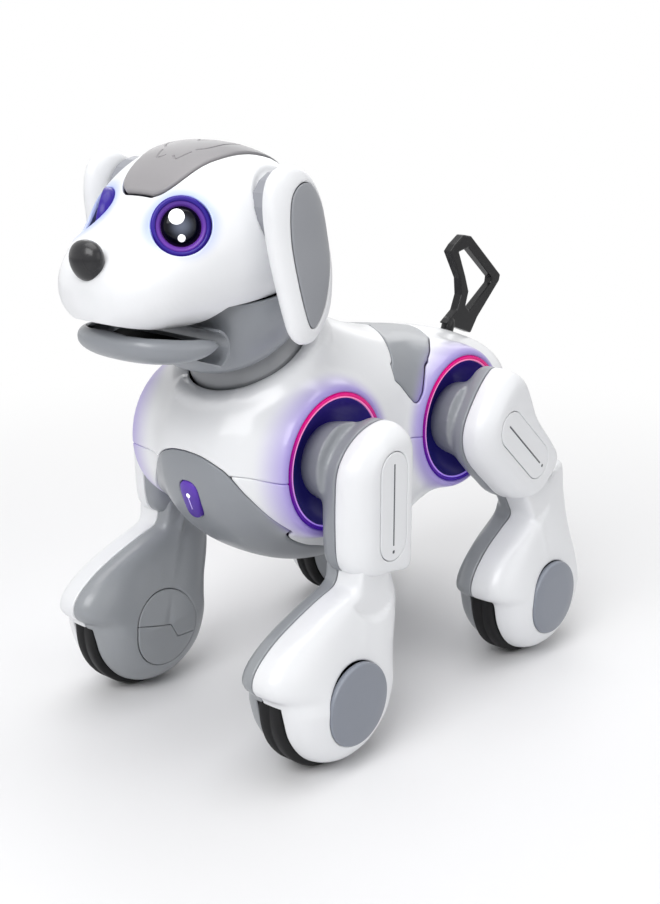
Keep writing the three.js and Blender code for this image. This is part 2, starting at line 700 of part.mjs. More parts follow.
function makeHead() {
  const outer = ribLoft(headRows, headSteps);
  const crownDepth = wall * 0.75;
  const underCrown = ribLoft(headRows, headSteps, crownDepth);
  const crown = cut(ribLoft(headRows, headSteps, -clearance * 2), ribLoft(headRows, headSteps, crownDepth
    - clearance));
  let shell = outer;
  shell = shell.subtract(cut(crownPrism(clearance), underCrown));
  shell = shell.subtract(ribLoft(headRows, headSteps / 2, wall * 1.5, pinPoints));
  addPiece('crown_cap', crown.intersect(crownPrism(0)), 'pale');
  for (const side of [1, -1]) {
    shell = shell.subtract(moved(barZ(eyeRadius + clearance, -eyeRadius, eyeRadius), eyeFrame(side)));
    const socket = barX(earSocketRadius + clearance, earX - earHalfThickness * 2 - wall, earX + overrun,
      earPivotY, earPivotZ);
    shell = shell.subtract(side > 0 ? socket : mirrored(socket));
  }
  shell = shell.subtract(nose(clearance)).intersect(aboveMouth());
  addPiece('head_shell', largest(shell), 'white', 0.3);
  addPiece('nose', nose(0), 'dark', 0.25);
  for (const [name, side] of [['l', 1], ['r', -1]]) {
    const frame = eyeFrame(side);
    const rim = wall / 4;
    const bezel = cut(barZ(eyeRadius, -eyeRadius / 2, rim),
      barZ(eyeRadius * 0.68 + clearance, -eyeRadius / 3, eyeRadius));
    addPiece('eye_bezel_' + name, moved(bezel, frame), 'indigo', 0.3);
    addPiece('eye_lens_' + name, moved(eyeLens(), frame), 'black', 0.05);
    const seat = earX - earHalfThickness * 2 - wall;
    const socket = joined(
      barX(earSocketRadius, seat + clearance, earX - earHalfThickness - clearance * 3, earPivotY, earPivotZ),
      barX(pinRadius, seat + wall, earX + earHalfThickness / 3, earPivotY, earPivotZ));
    addPiece('ear_socket_' + name, side > 0 ? socket : mirrored(socket), 'grey');
  }
}

// The one body of a cut shell that matters, once its points are rounded
function largest(solid) {
  return moved(solid, new THREE.Matrix4()).decompose().reduce((best, piece) => (piece.volume() > best.volume() ? piece : best));
}

function nose(grow) {
  const geometry = new THREE.SphereGeometry(1, coarsePoints, pinPoints);
  geometry.scale(noseWidth / 2 + grow, noseDepth / 2 + grow, noseHeight / 2 + grow);
  geometry.translate(0, noseY, noseZ);
  return toSolid(geometry);
}

function eyeLens() {
  const radius = eyeRadius * 0.68;
  const steps = 3;
  const rings = [];
  for (let k = 0; k <= steps; k += 1) {
    const t = (Math.PI / 2) * (k / (steps + 1));
    rings.push(Array.from({ length: ringPoints }, (_, i) => {
      const turn = (2 * Math.PI * i) / ringPoints;
      return new THREE.Vector3(radius * Math.cos(t) * Math.cos(turn), radius * Math.cos(t) * Math.sin(turn),
        radius * 0.45 * Math.sin(t) - wall);
    }));
  }
  const base = rings[0].map((point) => new THREE.Vector3(point.x, point.y, -eyeRadius / 3 + clearance));
  return loft([base, ...rings]);
}

// Lower head: middle y, middle z, half length, half width and tilt of each ring
const headBaseShares = [
  [-0.060, 0.040, 0.60, 0.60, 1.00],
  [-0.100, 0.100, 0.73, 0.73, 0.97],
  [-0.150, 0.200, 0.80, 0.83, 0.86],
  [-0.180, 0.320, 0.84, 0.92, 0.69],
  [-0.180, 0.480, 0.83, 0.96, 0.34],
  [-0.180, 0.660, 0.80, 0.96, 0.20],
];

function headBase(inset, extra) {
  const rows = headBaseShares.map(([y, z, length, width, tilt]) => {
    const middleY = neckY + y * headHalfWidth;
    const middleZ = neckZ + wall * 2 + z * headHeight;
    const half = length * headHalfWidth - inset;
    const angle = tilt * neckTilt;
    return [middleY - half * Math.cos(angle), middleZ - half * Math.sin(angle),
      middleY + half * Math.cos(angle), middleZ + half * Math.sin(angle),
      width * headHalfWidth - inset, 2.3];
  });
  const steps = extra ? 3 : 6;
  const rings = Array.from({ length: steps + 1 }, (_, k) =>
    rib(between(rows, k / steps), 0, extra ? coarsePoints : ringPoints));
  if (extra) {
    const down = new THREE.Vector3(0, Math.sin(neckTilt), -Math.cos(neckTilt)).multiplyScalar(extra);
    rings.unshift(rings[0].map((point) => point.clone().add(down)));
  }
  return loft(rings);
}

function makeHeadBase() {
  let base = cut(headBase(0), headBase(wall, overrun)).intersect(belowMouth());
  for (const side of [1, -1]) {
    const lug = barX(pinRadius * 2, nodPinReach - pinRadius * 2, headHalfWidth * 0.9, nodY, nodZ)
      .intersect(headBase(wall / 2));
    base = base.add(side > 0 ? lug : mirrored(lug));
  }
  base = base.subtract(barX(pinRadius + clearance, -nodPinReach - clearance, nodPinReach + clearance, nodY, nodZ));
  base = base.subtract(jawRoom());
  const tongue = box(-pinRadius * 2.5, pinRadius * 2.5, jawHingeY - pinRadius * 1.5,
    neckY - headHalfWidth * 0.62, jawHingeZ - pinRadius * 1.5, jawHingeZ + pinRadius * 1.5);
  const pin = barX(pinRadius, -jawPinReach, jawPinReach, jawHingeY, jawHingeZ);
  addPiece('head_base', largest(joined(base, tongue, pin)), 'grey');
}

const jawPinReach = jawHalfWidth - 2 * wall;

// Jaw: low z, high z and half width of each step from its tip to its hinge
const jawRibShares = [
  [0.000, 0.55, 0.72, 0.22, 2.0],
  [0.040, 0.38, 0.86, 0.42, 2.2],
  [0.140, 0.20, 0.97, 0.65, 2.4],
  [0.340, 0.07, 1.00, 0.84, 2.6],
  [0.580, 0.00, 0.98, 0.95, 2.6],
  [0.800, 0.03, 0.95, 1.00, 2.5],
  [0.930, 0.16, 0.86, 1.00, 2.3],
  [1.000, 0.34, 0.70, 0.99, 2.0],
];
const jawRows = jawRibShares.map(([y, low, high, width, squareness]) => [
  jawFront + y * jawLength, jawFloor + low * jawHeight, jawFront + y * jawLength, jawFloor + high * jawHeight,
  width * jawHalfWidth, squareness,
]);

function jawRoom() {
  const back = jawFront + jawLength;
  const radius = Math.hypot(back - jawHingeY, jawHeight / 2) + clearance * 2;
  return joined(
    barX(radius, -headHalfWidth - overrun, headHalfWidth + overrun, jawHingeY, jawHingeZ),
    box(-headHalfWidth - overrun, headHalfWidth + overrun, jawFront - overrun, jawHingeY,
      jawFloor - jawHeight, jawHingeZ + radius));
}

function makeJaw() {
  const sides = coarsePoints;
  const outer = ribLoft(jawRows, 9, 0, sides);
  const hollow = ribLoft(jawRows, 5, wall * 1.2, sides);
  const lifted = joined(hollow, moved(hollow, new THREE.Matrix4().makeTranslation(0, wall / 2, wall * 2)));
  const slot = box(-pinRadius * 2.5 - clearance, pinRadius * 2.5 + clearance, jawHingeY - pinRadius * 3,
    jawHingeY + jawLength, jawFloor - overrun, jawFloor + 2 * jawHeight);
  const bore = barX(pinRadius + clearance, -jawPinReach - clearance, jawPinReach + clearance, jawHingeY, jawHingeZ);
  addPiece('jaw', largest(cut(outer, lifted, slot, bore)), 'grey');
}

// Ears: each ring lies level; middle y, middle x, half depth and half thickness
const earShares = [
  [0.000, 0.05, 0.30, 0.10, 0.12],
  [0.015, 0.05, 0.30, 0.28, 0.42],
  [0.070, 0.07, 0.28, 0.52, 0.66],
  [0.190, 0.13, 0.22, 0.78, 0.88],
  [0.390, 0.13, 0.12, 0.96, 1.00],
  [0.580, 0.08, 0.04, 1.00, 1.00],
  [0.770, 0.02, 0.00, 0.96, 0.96],
  [0.900, -0.03, -0.02, 0.76, 0.84],
  [0.970, -0.05, -0.04, 0.46, 0.58],
  [1.000, -0.05, -0.05, 0.10, 0.14],
];

function earRing(t, inset, shift) {
  const [z, y, x, depth, thickness] = between(earShares, t);
  const sides = coarsePoints;
  return Array.from({ length: sides }, (_, i) => {
    const turn = (2 * Math.PI * i) / sides;
    return new THREE.Vector3(
      earX + x * earHalfDepth + shift + (thickness * earHalfThickness - inset) * power(Math.cos(turn), 2 / 2.4),
      earY + y * 2 * earHalfDepth + (depth * earHalfDepth - inset) * power(Math.sin(turn), 2 / 2.2),
      earTipZ + z * earLength);
  });
}

function earBody(shift) {
  const steps = 9;
  return loft(Array.from({ length: steps + 1 }, (_, k) => earRing(k / steps, 0, shift)));
}

// Outline of the inlay in the side view, as shares of the ear's half depth and length
const inlayShares = [
  [0.30, 0.10], [0.70, 0.22], [0.98, 0.42], [1.05, 0.60], [0.85, 0.78], [0.45, 0.89], [-0.05, 0.90],
  [-0.45, 0.82], [-0.55, 0.62], [-0.30, 0.36], [0.00, 0.14],
];

function inlayPrism(grow) {
  const middle = [0.25, 0.5];
  const outline = inlayShares.map(([y, z]) => [
    earY + y * earHalfDepth + Math.sign(y - middle[0]) * grow,
    earTipZ + z * earLength + Math.sign(z - middle[1]) * grow]);
  return sidePrism(outline, earX + wall / 2, earX + 2 * earHalfDepth);
}

function makeEars() {
  for (const [name, side] of [['l', 1], ['r', -1]]) {
    const place = (solid) => (side > 0 ? solid : mirrored(solid));
    const depth = wall * 0.75;
    const recess = cut(inlayPrism(clearance), earBody(-depth));
    const bore = barX(pinRadius + clearance, earX - 2 * earHalfThickness, earX + earHalfThickness / 3 + clearance,
      earPivotY, earPivotZ);
    addPiece('ear_shell_' + name, place(largest(cut(earBody(0), recess, bore))), 'white', 0.3);
    const inlay = cut(earBody(clearance), earBody(clearance - depth)).intersect(inlayPrism(0));
    addPiece('ear_inlay_' + name, place(largest(inlay)), 'grey');
  }
}

// Legs, drawn for the left side in the dog's own frame

// How square the foot is in section, and how its width shrinks on the way up to the knee
const footSquareness = 2.6;
const footTaperShare = 0.5;
const footTaperRate = 1.25;

// Closed smooth outline through points given in the side view
function smoothOutline(points, steps) {
  const count = points.length;
  const outline = [];
  for (let k = 0; k < count; k += 1) {
    const rows = [-1, 0, 1, 2].map((i) => points[(k + i + count) % count]);
    for (let j = 0; j < steps; j += 1) {
      outline.push(between(rows, 1 / 3 + j / steps / 3));
    }
  }
  return outline;
}

// Lens-shaped body: the outline shrinks towards its spine as it leaves the middle plane
function lens(outline, spine, centre, half, squareness, steps, taper) {
  const rings = [];
  for (let k = -steps; k <= steps; k += 1) {
    const t = (Math.PI / 2) * (k / (steps + 0.6));
    const share = Math.cos(t) ** (2 / squareness);
    const most = Math.sin((Math.PI / 2) * (steps / (steps + 0.6)));
    const reach = half * power(Math.sin(t) / most, 2 / squareness);
    rings.push(outline.map(([y, z]) => {
      const [middleY, middleZ] = spine(z);
      return new THREE.Vector3(centre + reach * taper(z), middleY + (y - middleY) * share,
        middleZ + (z - middleZ) * share);
    }));
  }
  return loft(rings);
}

function legPlan(hip) {
  const front = hip.y < hipMiddleY;
  const swing = front ? 0 : rearThighSwing;
  const drop = front ? kneeDropFront : kneeDropRear;
  return {
    shares: front ? shinShares.front : shinShares.rear,
    swing,
    top: front ? thighTopFront : thighTopRear,
    end: front ? thighEndFront : thighEndRear,
    setBack: front ? thighSetBackFront : thighSetBackRear,
    kneeY: hip.y + drop * Math.sin(swing),
    kneeZ: hipHeight - drop * Math.cos(swing),
    wheelY: hip.y + (front ? -wheelAhead : wheelBehind),
  };
}

// How far a rounded edge draws in at a given distance from the face where it ends
function edgeInset(radius, distance) {
  const past = Math.min(Math.max(radius - distance, 0), radius);
  return radius - Math.sqrt(radius * radius - past * past);
}

function thighRing(hip, plan, x, inset) {
  const sides = coarsePoints;
  const drawn = (radius) => inset + edgeInset(radius, thighFaceX - inset - x)
    + edgeInset(thighRounding / 2, x - thighInnerX - inset);
  const front = thighHalfWidth - drawn(thighRounding);
  const rear = thighHalfWidth - drawn(thighRounding / 4);
  const top = plan.top - drawn(thighRounding);
  const bottom = plan.end - drawn(thighRounding / 3);
  return Array.from({ length: sides }, (_, i) => {
    const turn = (2 * Math.PI * (i + 0.5)) / sides;
    const along = power(Math.cos(turn), 2 / 3);
    const y = plan.setBack + along * (along < 0 ? front : rear);
    const rise = power(Math.sin(turn), 2 / (turn > Math.PI ? 3.4 : 2.6));
    const z = (top - bottom) / 2 + ((top + bottom) / 2) * rise;
    return new THREE.Vector3(x, hip.y + y * Math.cos(plan.swing) - z * Math.sin(plan.swing),
      hipHeight + y * Math.sin(plan.swing) + z * Math.cos(plan.swing));
  });
}

function thighBody(hip, plan, inset) {
  const fromInner = [0, 0.3, 1].map((share) => thighInnerX + inset + share * (thighRounding / 2));
  const fromFace = [1, 0.5, 0.16, 0].map((share) => thighFaceX - inset - share * thighRounding);
  const places = inset ? [fromInner[0], fromInner[2], fromFace[1], fromFace[3]] : [...fromInner, ...fromFace];
  return loft(places.map((x) => thighRing(hip, plan, x, inset)));
}

// Shin outlines round the wheel's centre, as shares of the foot's reach: the underside, then up the
// front to the knee, and down the back from the horn behind the knee
const footUnderShares = [[0.00, -1.00], [-0.38, -0.92], [-0.71, -0.70], [-0.93, -0.37], [-1.03, 0.02]];
const shinShares = {
  front: {
    rise: [[-1.10, 0.20], [-1.36, 0.36], [-1.40, 0.54], [-1.24, 0.74], [-0.94, 0.90], [-0.50, 1.06], [-0.10, 1.24]],
    back: [[1.08, 1.66], [1.06, 1.20], [0.94, 0.68], [0.84, 0.30], [0.84, -0.10], [0.76, -0.50], [0.40, -0.91]],
  },
  rear: {
    rise: [[-1.12, 0.20], [-1.42, 0.34], [-1.45, 0.54], [-1.26, 0.80], [-0.92, 1.00], [-0.72, 1.22], [-0.66, 1.50]],
    back: [[0.14, 2.05], [0.30, 1.62], [0.44, 1.12], [0.68, 0.62], [0.84, 0.15], [0.78, -0.42], [0.42, -0.90]],
  },
};

function shinOutline(plan) {
  const placed = ([y, z]) => [plan.wheelY + y * footReach, wheelRadius + z * footReach];
  const dome = [0.95, 0.62, 0.30].map((share) => [
    plan.kneeY + kneeBarrelRadius * Math.cos(Math.PI * share),
    plan.kneeZ + kneeBarrelRadius * Math.sin(Math.PI * share)]);
  const { rise, back } = plan.shares;
  return smoothOutline([...footUnderShares.map(placed), ...rise.map(placed), ...dome, ...back.map(placed)], 1);
}

function makeLeg(hip) {
  const plan = legPlan(hip);
  const place = (solid) => (hip.side > 0 ? solid : mirrored(solid));
  const split = footMiddleX - footSplit;
  const barrel = [footMiddleX - footHalfWidth / 2.2, thighFaceX - wall * 1.6];

  const thigh = thighBody(hip, plan, 0);
  const hollow = thighBody(hip, plan, wall);
  const shell = cut(thigh, hollow);
  const funnel = turnedX([[ringPlane - hipCupDepth + wall + clearance * 2, hipShaftRadius * 2.4],
    [ringPlane - ringDepth, thighHalfWidth * 0.98], [thighInnerX + wall, thighHalfWidth * 1.08],
    [thighInnerX + wall + clearance, thighHalfWidth * 0.8]], hip.y, hipHeight, coarsePoints);
  const shaft = barX(turnsIn(hipShaftRadius + clearance, pinPoints), gearboxHalfWidth / 2 + clearance, thighInnerX + wall, hip.y, hipHeight);
  const barrelRoom = joined(
    barX(kneeBarrelRadius + 8 * clearance, barrel[0] - overrun, barrel[1] + clearance, plan.kneeY, plan.kneeZ),
    kneeSweep(plan, barrel));
  const beyond = thighFaceX + overrun;
  const reach = torsoLength;
  const innerHalf = box(0, thighSplitX - clearance / 2, -reach, reach, 0, reach * 2);
  const outerHalf = box(thighSplitX + clearance / 2, beyond, -reach, reach, 0, reach * 2);
  const pin = barX(pinRadius, barrel[0], thighFaceX - wall, plan.kneeY, plan.kneeZ);
  addPiece('thigh_inner_' + hip.name, place(largest(
    joined(cut(shell, barrelRoom).intersect(innerHalf), funnel, shaft))), 'grey');
  addPiece('thigh_cover_' + hip.name, place(largest(
    joined(cut(shell, barrelRoom).intersect(outerHalf), pin))), 'white', 0.3);

  const outline = shinOutline(plan);
  const climb = (z) => Math.min(Math.max((z - wheelRadius) / (plan.kneeZ - wheelRadius), 0), 1);
  const spine = (z) => [plan.wheelY + (plan.kneeY - plan.wheelY) * climb(z),
    wheelRadius + (plan.kneeZ - wheelRadius) * climb(z)];
  const taper = (z) => 1 - footTaperShare * Math.min(climb(z) * footTaperRate, 1);
  const body = lens(outline, spine, footMiddleX, footHalfWidth, footSquareness, 2, taper);
  const wheelRoom = barX(overFlats(overFlats(wheelRadius) + clearance), footMiddleX - wheelWidth / 2 - clearance * 2,
    footMiddleX + wheelWidth / 2 + clearance * 2, plan.wheelY, wheelRadius);
  const kneeBar = barX(kneeBarrelRadius, barrel[0], barrel[1], plan.kneeY, plan.kneeZ);
  const kneeBore = barX(pinRadius + clearance, barrel[0] - overrun, barrel[1] + overrun, plan.kneeY, plan.kneeZ);
  const capSeat = barX(hubCapRadius + clearance, footMiddleX + footHalfWidth - hubCapDepth,
    thighFaceX + overrun, plan.wheelY, wheelRadius - hubCapDrop);
  const coverRoom = barX(thighHalfWidth + wall, barrel[1], beyond, plan.kneeY, plan.kneeZ);
  const shin = cut(joined(body, kneeBar), wheelRoom, kneeBore, capSeat, coverRoom);
  const axle = barX(pinRadius, footMiddleX - footHalfWidth / 2, footMiddleX + footHalfWidth / 2,
    plan.wheelY, wheelRadius);
  const inside = box(0, split - clearance / 2, -reach, reach, -reach, reach);
  const outside = box(split + clearance / 2, beyond, -reach, reach, -reach, reach);
  addPiece('shin_inner_' + hip.name, place(largest(shin.intersect(inside))), 'pale');
  addPiece('shin_outer_' + hip.name, place(largest(shin.intersect(outside).add(axle.intersect(outside)))),
    'white', 0.3);
  const cap = barX(hubCapRadius, footMiddleX + footHalfWidth - hubCapDepth + clearance,
    footMiddleX + footHalfWidth + clearance, plan.wheelY, wheelRadius - hubCapDrop);
  addPiece('hub_cap_' + hip.name, place(cap), 'grey');
  const tyreEdge = wall / 2;
  const tread = overFlats(wheelRadius);
  const tyre = turnedX([[footMiddleX - wheelWidth / 2, tread - tyreEdge],
    [footMiddleX - wheelWidth / 2 + tyreEdge, tread], [footMiddleX + wheelWidth / 2 - tyreEdge, tread],
    [footMiddleX + wheelWidth / 2, tread - tyreEdge]], plan.wheelY, wheelRadius);
  const wheelBore = barX(pinRadius + clearance, 0, beyond, plan.wheelY, wheelRadius);
  addPiece('wheel_' + hip.name, place(cut(tyre, wheelBore)), 'black', 0.8);
}

// Room that the shin's neck needs inside the thigh as the knee bends
function kneeSweep(plan, barrel) {
  const down = Math.atan2(plan.wheelY - plan.kneeY, plan.kneeZ - wheelRadius);
  const reach = kneeBarrelRadius * 4;
  const start = -Math.PI / 2 + down;
  const outline = [[plan.kneeY, plan.kneeZ]];
  for (let i = -4; i <= 4; i += 1) {
    const turn = start + (i / 4) * Math.PI * 0.42;
    outline.push([plan.kneeY + reach * Math.cos(turn), plan.kneeZ + reach * Math.sin(turn)]);
  }
  return sidePrism(outline, barrel[0] - overrun, barrel[1] + clearance);
}

makeTorso();
makeTail();
makeButton();
makeHipRings();
makeInsides();
makeNeck();
makeHead();
makeHeadBase();
makeJaw();
makeEars();
hips.forEach(makeLeg);

// The nose and the tail end at equal distances from the middle
const tailEndY = tailY + tailHeight * Math.max(...tailOutlineShares.map(([y]) => y));
const noseEndY = noseY - noseDepth / 2;
dog.position.y = -(tailEndY + noseEndY) / 2;

export default group;
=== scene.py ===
"""Robot dog toy, in metres. It stands on z = 0 and faces -Y; its own left side is +X."""
import math

import bpy
import numpy as np
from mathutils import Matrix, Vector


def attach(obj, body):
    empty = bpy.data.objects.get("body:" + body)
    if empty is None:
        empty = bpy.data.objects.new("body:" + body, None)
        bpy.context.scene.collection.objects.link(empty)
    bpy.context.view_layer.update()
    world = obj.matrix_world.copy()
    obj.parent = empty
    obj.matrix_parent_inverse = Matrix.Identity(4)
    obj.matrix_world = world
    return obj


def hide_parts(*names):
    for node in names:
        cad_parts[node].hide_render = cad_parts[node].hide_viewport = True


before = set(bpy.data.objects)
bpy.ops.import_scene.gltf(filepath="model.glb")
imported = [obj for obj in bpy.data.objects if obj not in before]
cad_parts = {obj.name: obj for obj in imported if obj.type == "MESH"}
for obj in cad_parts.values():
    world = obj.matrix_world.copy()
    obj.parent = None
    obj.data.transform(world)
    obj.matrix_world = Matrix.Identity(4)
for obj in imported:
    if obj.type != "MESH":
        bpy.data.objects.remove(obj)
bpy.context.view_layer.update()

# Camera
camera_place = (0.49715, -0.56417, 0.36542)
camera_down = math.radians(17.16)
camera_turn = math.radians(41.056)
camera_lens = 55.095

# General sizes
wall = 0.0022
thin_wall = 0.0012
gap = 0.00022
fine_gap = gap * 0.7
rim = 0.0009
fine_rim = 0.0006
thin_rim = 0.0004
pin_radius = 0.004
groove_width = 0.0014
groove_depth = 0.0007
groove_reach = 0.0022
far = 1.0
tiny = 1e-8

# Mesh sizes
torso_voxel = 0.0016
head_voxel = 0.0014
thigh_voxel = 0.0013
foot_voxel = 0.0014
small_voxel = 0.0012
lining_voxel = 0.003

# Torso
torso_front = -0.098
torso_length = 0.257
torso_floor = 0.0805
torso_height = 0.141
torso_half_width = 0.054
seam_height = 0.149
plate_corner = 0.006
neck_y = -0.052
neck_z = 0.2056
neck_tilt = math.radians(29)
collar_bore = 0.0325
collar_radius = 0.040
collar_depth = 0.02
collar_soft = (0.0455, 0.047, 0.050, 0.056)
collar_soft_drop = 0.010
soft_reach = 0.02
door_y = 0.014
door_half_width = 0.0244
door_half_length = 0.0254
door_top_z = 0.1

# Hips
hip_front_y = -0.04405
hip_rear_y = 0.06445
hip_height = 0.1518
hip_hole_x = 0.042
ring_plane = 0.057
ring_radius = 0.036
ring_width = 0.004
ring_inner = ring_radius - ring_width * 0.55
cup_radius = ring_inner - ring_width * 0.15
boss_radius = 0.040
cup_depth = 0.012
cup_bore = 0.009
boss_soft = (0.0398, 0.0425, 0.050, 0.058)
# Near and far reach of the lamp light painted on the shell around each hip ring
hip_painted_glow = (0.0355, 0.0488)

# Thighs
knee_radius = 0.015
knee_drop_front = 0.051
knee_drop_rear = 0.0545
rear_swing = math.radians(42)
thigh_reach = 0.025
thigh_inner_x = 0.0595
thigh_split_x = 0.0715
thigh_face_x = 0.088
thigh_rounding = 0.015
thigh_soft = (0.001, 0.003)
thigh_room_x = (0.050, 0.0845)
funnel_radius = 0.020
funnel_depth = 0.0088
pill_front_place = (0.0082, -0.0194)
pill_rear_place = (0.0046, -0.0235)
pill_rear_turn = math.radians(6.4)
pill_half_width = 0.0105
pill_half_length = 0.029
pill_depth = 0.004
slot_reach = (-0.0205, 0.0222)
slot_half_width = 0.0006
slot_depth = 0.0012
slot_sink = 0.0001
slot_rise = 0.00005
dot_drop = -0.0243
dot_radius = 0.0010

# Feet
wheel_radius = 0.041
wheel_half_width = 0.0075
wheel_ahead = 0.0274
wheel_behind = 0.0454
wheel_room = 0.0015
wheel_side_room = 0.0009
wheel_slot_rise = 0.0045
foot_middle_x = 0.071
foot_half_width = 0.026
foot_split_x = 0.068
foot_flat_x = 0.08416
foot_reach = 0.038
foot_wall = 0.0014
foot_square = 3.2
block_radius = 0.0118
block_rim = 0.0012
block_front_run = (-0.0030, 0.0125)
block_rear_run = (0.0100, 0.0163)
block_soft = (block_radius, block_radius + 0.003, 0.030, 0.040)
flat_reach = 0.0244
hub_cap_radius = 0.022
hub_cap_depth = 0.004
hub_cap_drop = 0.003
circle_radius = 0.0220

# Head
head_front = -0.156
head_length = 0.136
head_floor = 0.2255
head_height = 0.086
head_half_width = 0.055
nose_place = (0.0, -0.1535, 0.2626)
nose_half = (0.010, 0.0065, 0.0095)
base_rise = 0.0048
neck_clearance = 0.006
palate_front = 0.004
palate_rise = 0.0012
palate_top = 0.0075
mouth_back_rise = 0.006
mouth_back_rim = 0.0005
lining_inset = 0.004
crown_front = -0.121
crown_length = 0.094
crown_half_width = 0.030
crown_rim = 0.0014
crown_rise = 0.0007

# Eyes
eye_radius = 0.014
eye_place = (0.028, -0.1204, 0.2773)
eye_turn = math.radians(48)
eye_lift = math.radians(12)
# Near and far reach of the blue lamp light painted on the head shell around each eye
eye_painted_glow = (0.0130, 0.0225)
lens_radius = eye_radius * 0.675
lens_depth = 0.006
lens_sink = 0.0022
lens_bulge = 0.0040
lens_glow_offset = (0.003, -0.0022, 0.0005)
lens_glow_reach = 0.0082
eye_spark = (-0.0019, 0.0043, 0.0037)
eye_glint = (0.0001, -0.0056, 0.0018)
spot_depth = 0.0008
spot_rise = 0.0001

# Ears
ear_length = 0.083
ear_tip_z = 0.2215
ear_half_depth = 0.019
ear_half_thickness = 0.0075
ear_x = 0.063
ear_y = -0.0835
ear_arc_x = 0.030
ear_arc_y = -0.074
ear_arc_z = 0.282
ear_arc_radius = 0.0195
ear_arc_soft = (-0.0006, 0.0012)
ear_recess = 0.0016

# Jaw
jaw_front = -0.147
jaw_length = 0.040
jaw_floor = 0.211
jaw_height = 0.0185
jaw_half_width = 0.0385
jaw_play = 0.0004
jaw_room = 0.0008
jaw_seat_wall = 0.0012
jaw_seat_inset = 0.0010
jaw_lip = 0.0034
jaw_lip_shift = 0.0030
jaw_lining_shift = 0.002
jaw_lining_inset = 0.0026
jaw_lining_top = 0.0075
jaw_hinge = (jaw_front + jaw_length - pin_radius * 0.75, jaw_floor + jaw_height * 0.4054)

# Tail and chest button
tail_y = 0.126
tail_z = 0.188
tail_thickness = 0.006
tail_height = 0.056
tail_lean = math.radians(20)
tail_hole_floor = 0.17
button_z = 0.1315
button_half_width = 0.008
button_half_height = 0.011
button_depth = 0.02
button_dot_radius = 0.0013
button_line_half = 0.0003

# Surfaces and lights
coat_roughness = 0.08
grain_scale = 900.0
patch_scale = 24.0
grain_height = 0.00002
# Strength of the painted glow that the hip rings and the eyes cast on the shells
painted_shell_glow = 0.12
floor_reach = 3.0
floor_fade = (0.22, 0.75)
floor_grain_scale = 140.0
floor_grain_height = 0.0002
ambient = 0.27
lamp_aim = (0, 0, 0.16)
lamps = {
    "key": ((0.35, -1.25, 1.25), (1.1, 0.9), 17.0),
    "fill": ((1.5, 0.25, 0.75), (1.2, 1.0), 3.0),
    "back": ((-0.9, 1.1, 0.9), (1.2, 0.9), 4.0),
    "top": ((0.0, 0.0, 1.6), (1.3, 1.3), 13.0),
}

# The part's own frame lies this far back along Y from the sizes above
tail_end_share = 0.93
shift_y = -(tail_y + tail_end_share * tail_height + nose_place[1] - nose_half[1]) / 2


# Curves and fields

def between(rows, t):
    """Smooth curve through rows of numbers, at place t from 0 to 1."""
    rows = np.asarray(rows, float)
    place = t * (len(rows) - 1)
    k = min(int(place), len(rows) - 2)
    u = place - k
    last = len(rows) - 1
    a, b, c, d = (rows[min(max(i, 0), last)] for i in (k - 1, k, k + 1, k + 2))
    return b + u * (c - a + u * (2 * a - 5 * b + 4 * c - d + u * (3 * (b - c) + d - a))) / 2


def smooth_line(points, steps=8):
    points = np.asarray(points, float)
    count = (len(points) - 1) * steps
    return np.array([between(points, k / count) for k in range(count + 1)])


def smooth_loop(points, steps=8):
    points = list(map(tuple, points))
    wrapped = points[-2:] + points + points[:3]
    line = smooth_line(wrapped, steps)
    return line[2 * steps:(2 + len(points)) * steps]


def power(value, exponent):
    return np.sign(value) * np.abs(value) ** exponent


def segments_distance(places, starts, ends):
    best = np.full(len(places), far)
    for a, b in zip(starts, ends):
        along = b - a
        size = max(along @ along, tiny ** 2)
        t = np.clip(((places - a) @ along) / size, 0, 1)
        away = places - a - t[:, None] * along
        best = np.minimum(best, np.hypot(away[:, 0], away[:, 1]))
    return best


def line_distance(line, columns):
    """Field: distance to an open line seen along one axis."""
    line = np.asarray(line, float)

    def field(points):
        return segments_distance(points[:, columns], line[:-1], line[1:])
    return field


def inside(loop, columns):
    """Field: distance inside a closed outline seen along one axis, negative outside."""
    loop = np.asarray(loop, float)
    ends = np.roll(loop, -1, axis=0)

    def field(points):
        places = points[:, columns]
        odd = np.zeros(len(places), bool)
        for a, b in zip(loop, ends):
            if a[1] == b[1]:
                continue
            spans = (a[1] > places[:, 1]) != (b[1] > places[:, 1])
            cross = a[0] + (places[:, 1] - a[1]) * (b[0] - a[0]) / (b[1] - a[1])
            odd ^= spans & (places[:, 0] < cross)
        distance = segments_distance(places, loop, ends)
        return np.where(odd, distance, -distance)
    return field


def axis_radius(points, place, axis):
    """Distance from an axis, and height along it."""
    away = points - np.asarray(place)
    height = away @ np.asarray(axis)
    return np.linalg.norm(away - height[:, None] * np.asarray(axis), axis=1), height


def all_of(*fields):
    return lambda points: np.minimum.reduce([field(points) for field in fields])


def soft_of(width, one, two):
    """Where both fields hold, with rounded corners."""
    def field(points):
        first, second = one(points), two(points)
        share = np.maximum(width - np.abs(first - second), 0) / width
        return np.minimum(first, second) - share ** 2 * width / 4
    return field


def away_from(field, reach=0.0):
    return lambda points: -field(points) - reach


def within(field, reach=gap):
    return lambda points: field(points) - reach


# Skins: fine meshes that are split along fields

def loft(rings):
    rings = np.asarray(rings)
    levels, count = rings.shape[:2]
    points = rings.reshape(-1, 3)
    base = np.arange(count)
    after = (base + 1) % count
    faces = []
    for k in range(levels - 1):
        low = k * count
        for a, b in zip(base, after):
            faces.append((low + a, low + b, low + count + b, low + count + a))
    first = len(points)
    points = np.vstack([points, rings[0].mean(axis=0), rings[-1].mean(axis=0)])
    top = (levels - 1) * count
    for a, b in zip(base, after):
        faces.append((first, b, a))
        faces.append((first + 1, top + a, top + b))
    return points, faces


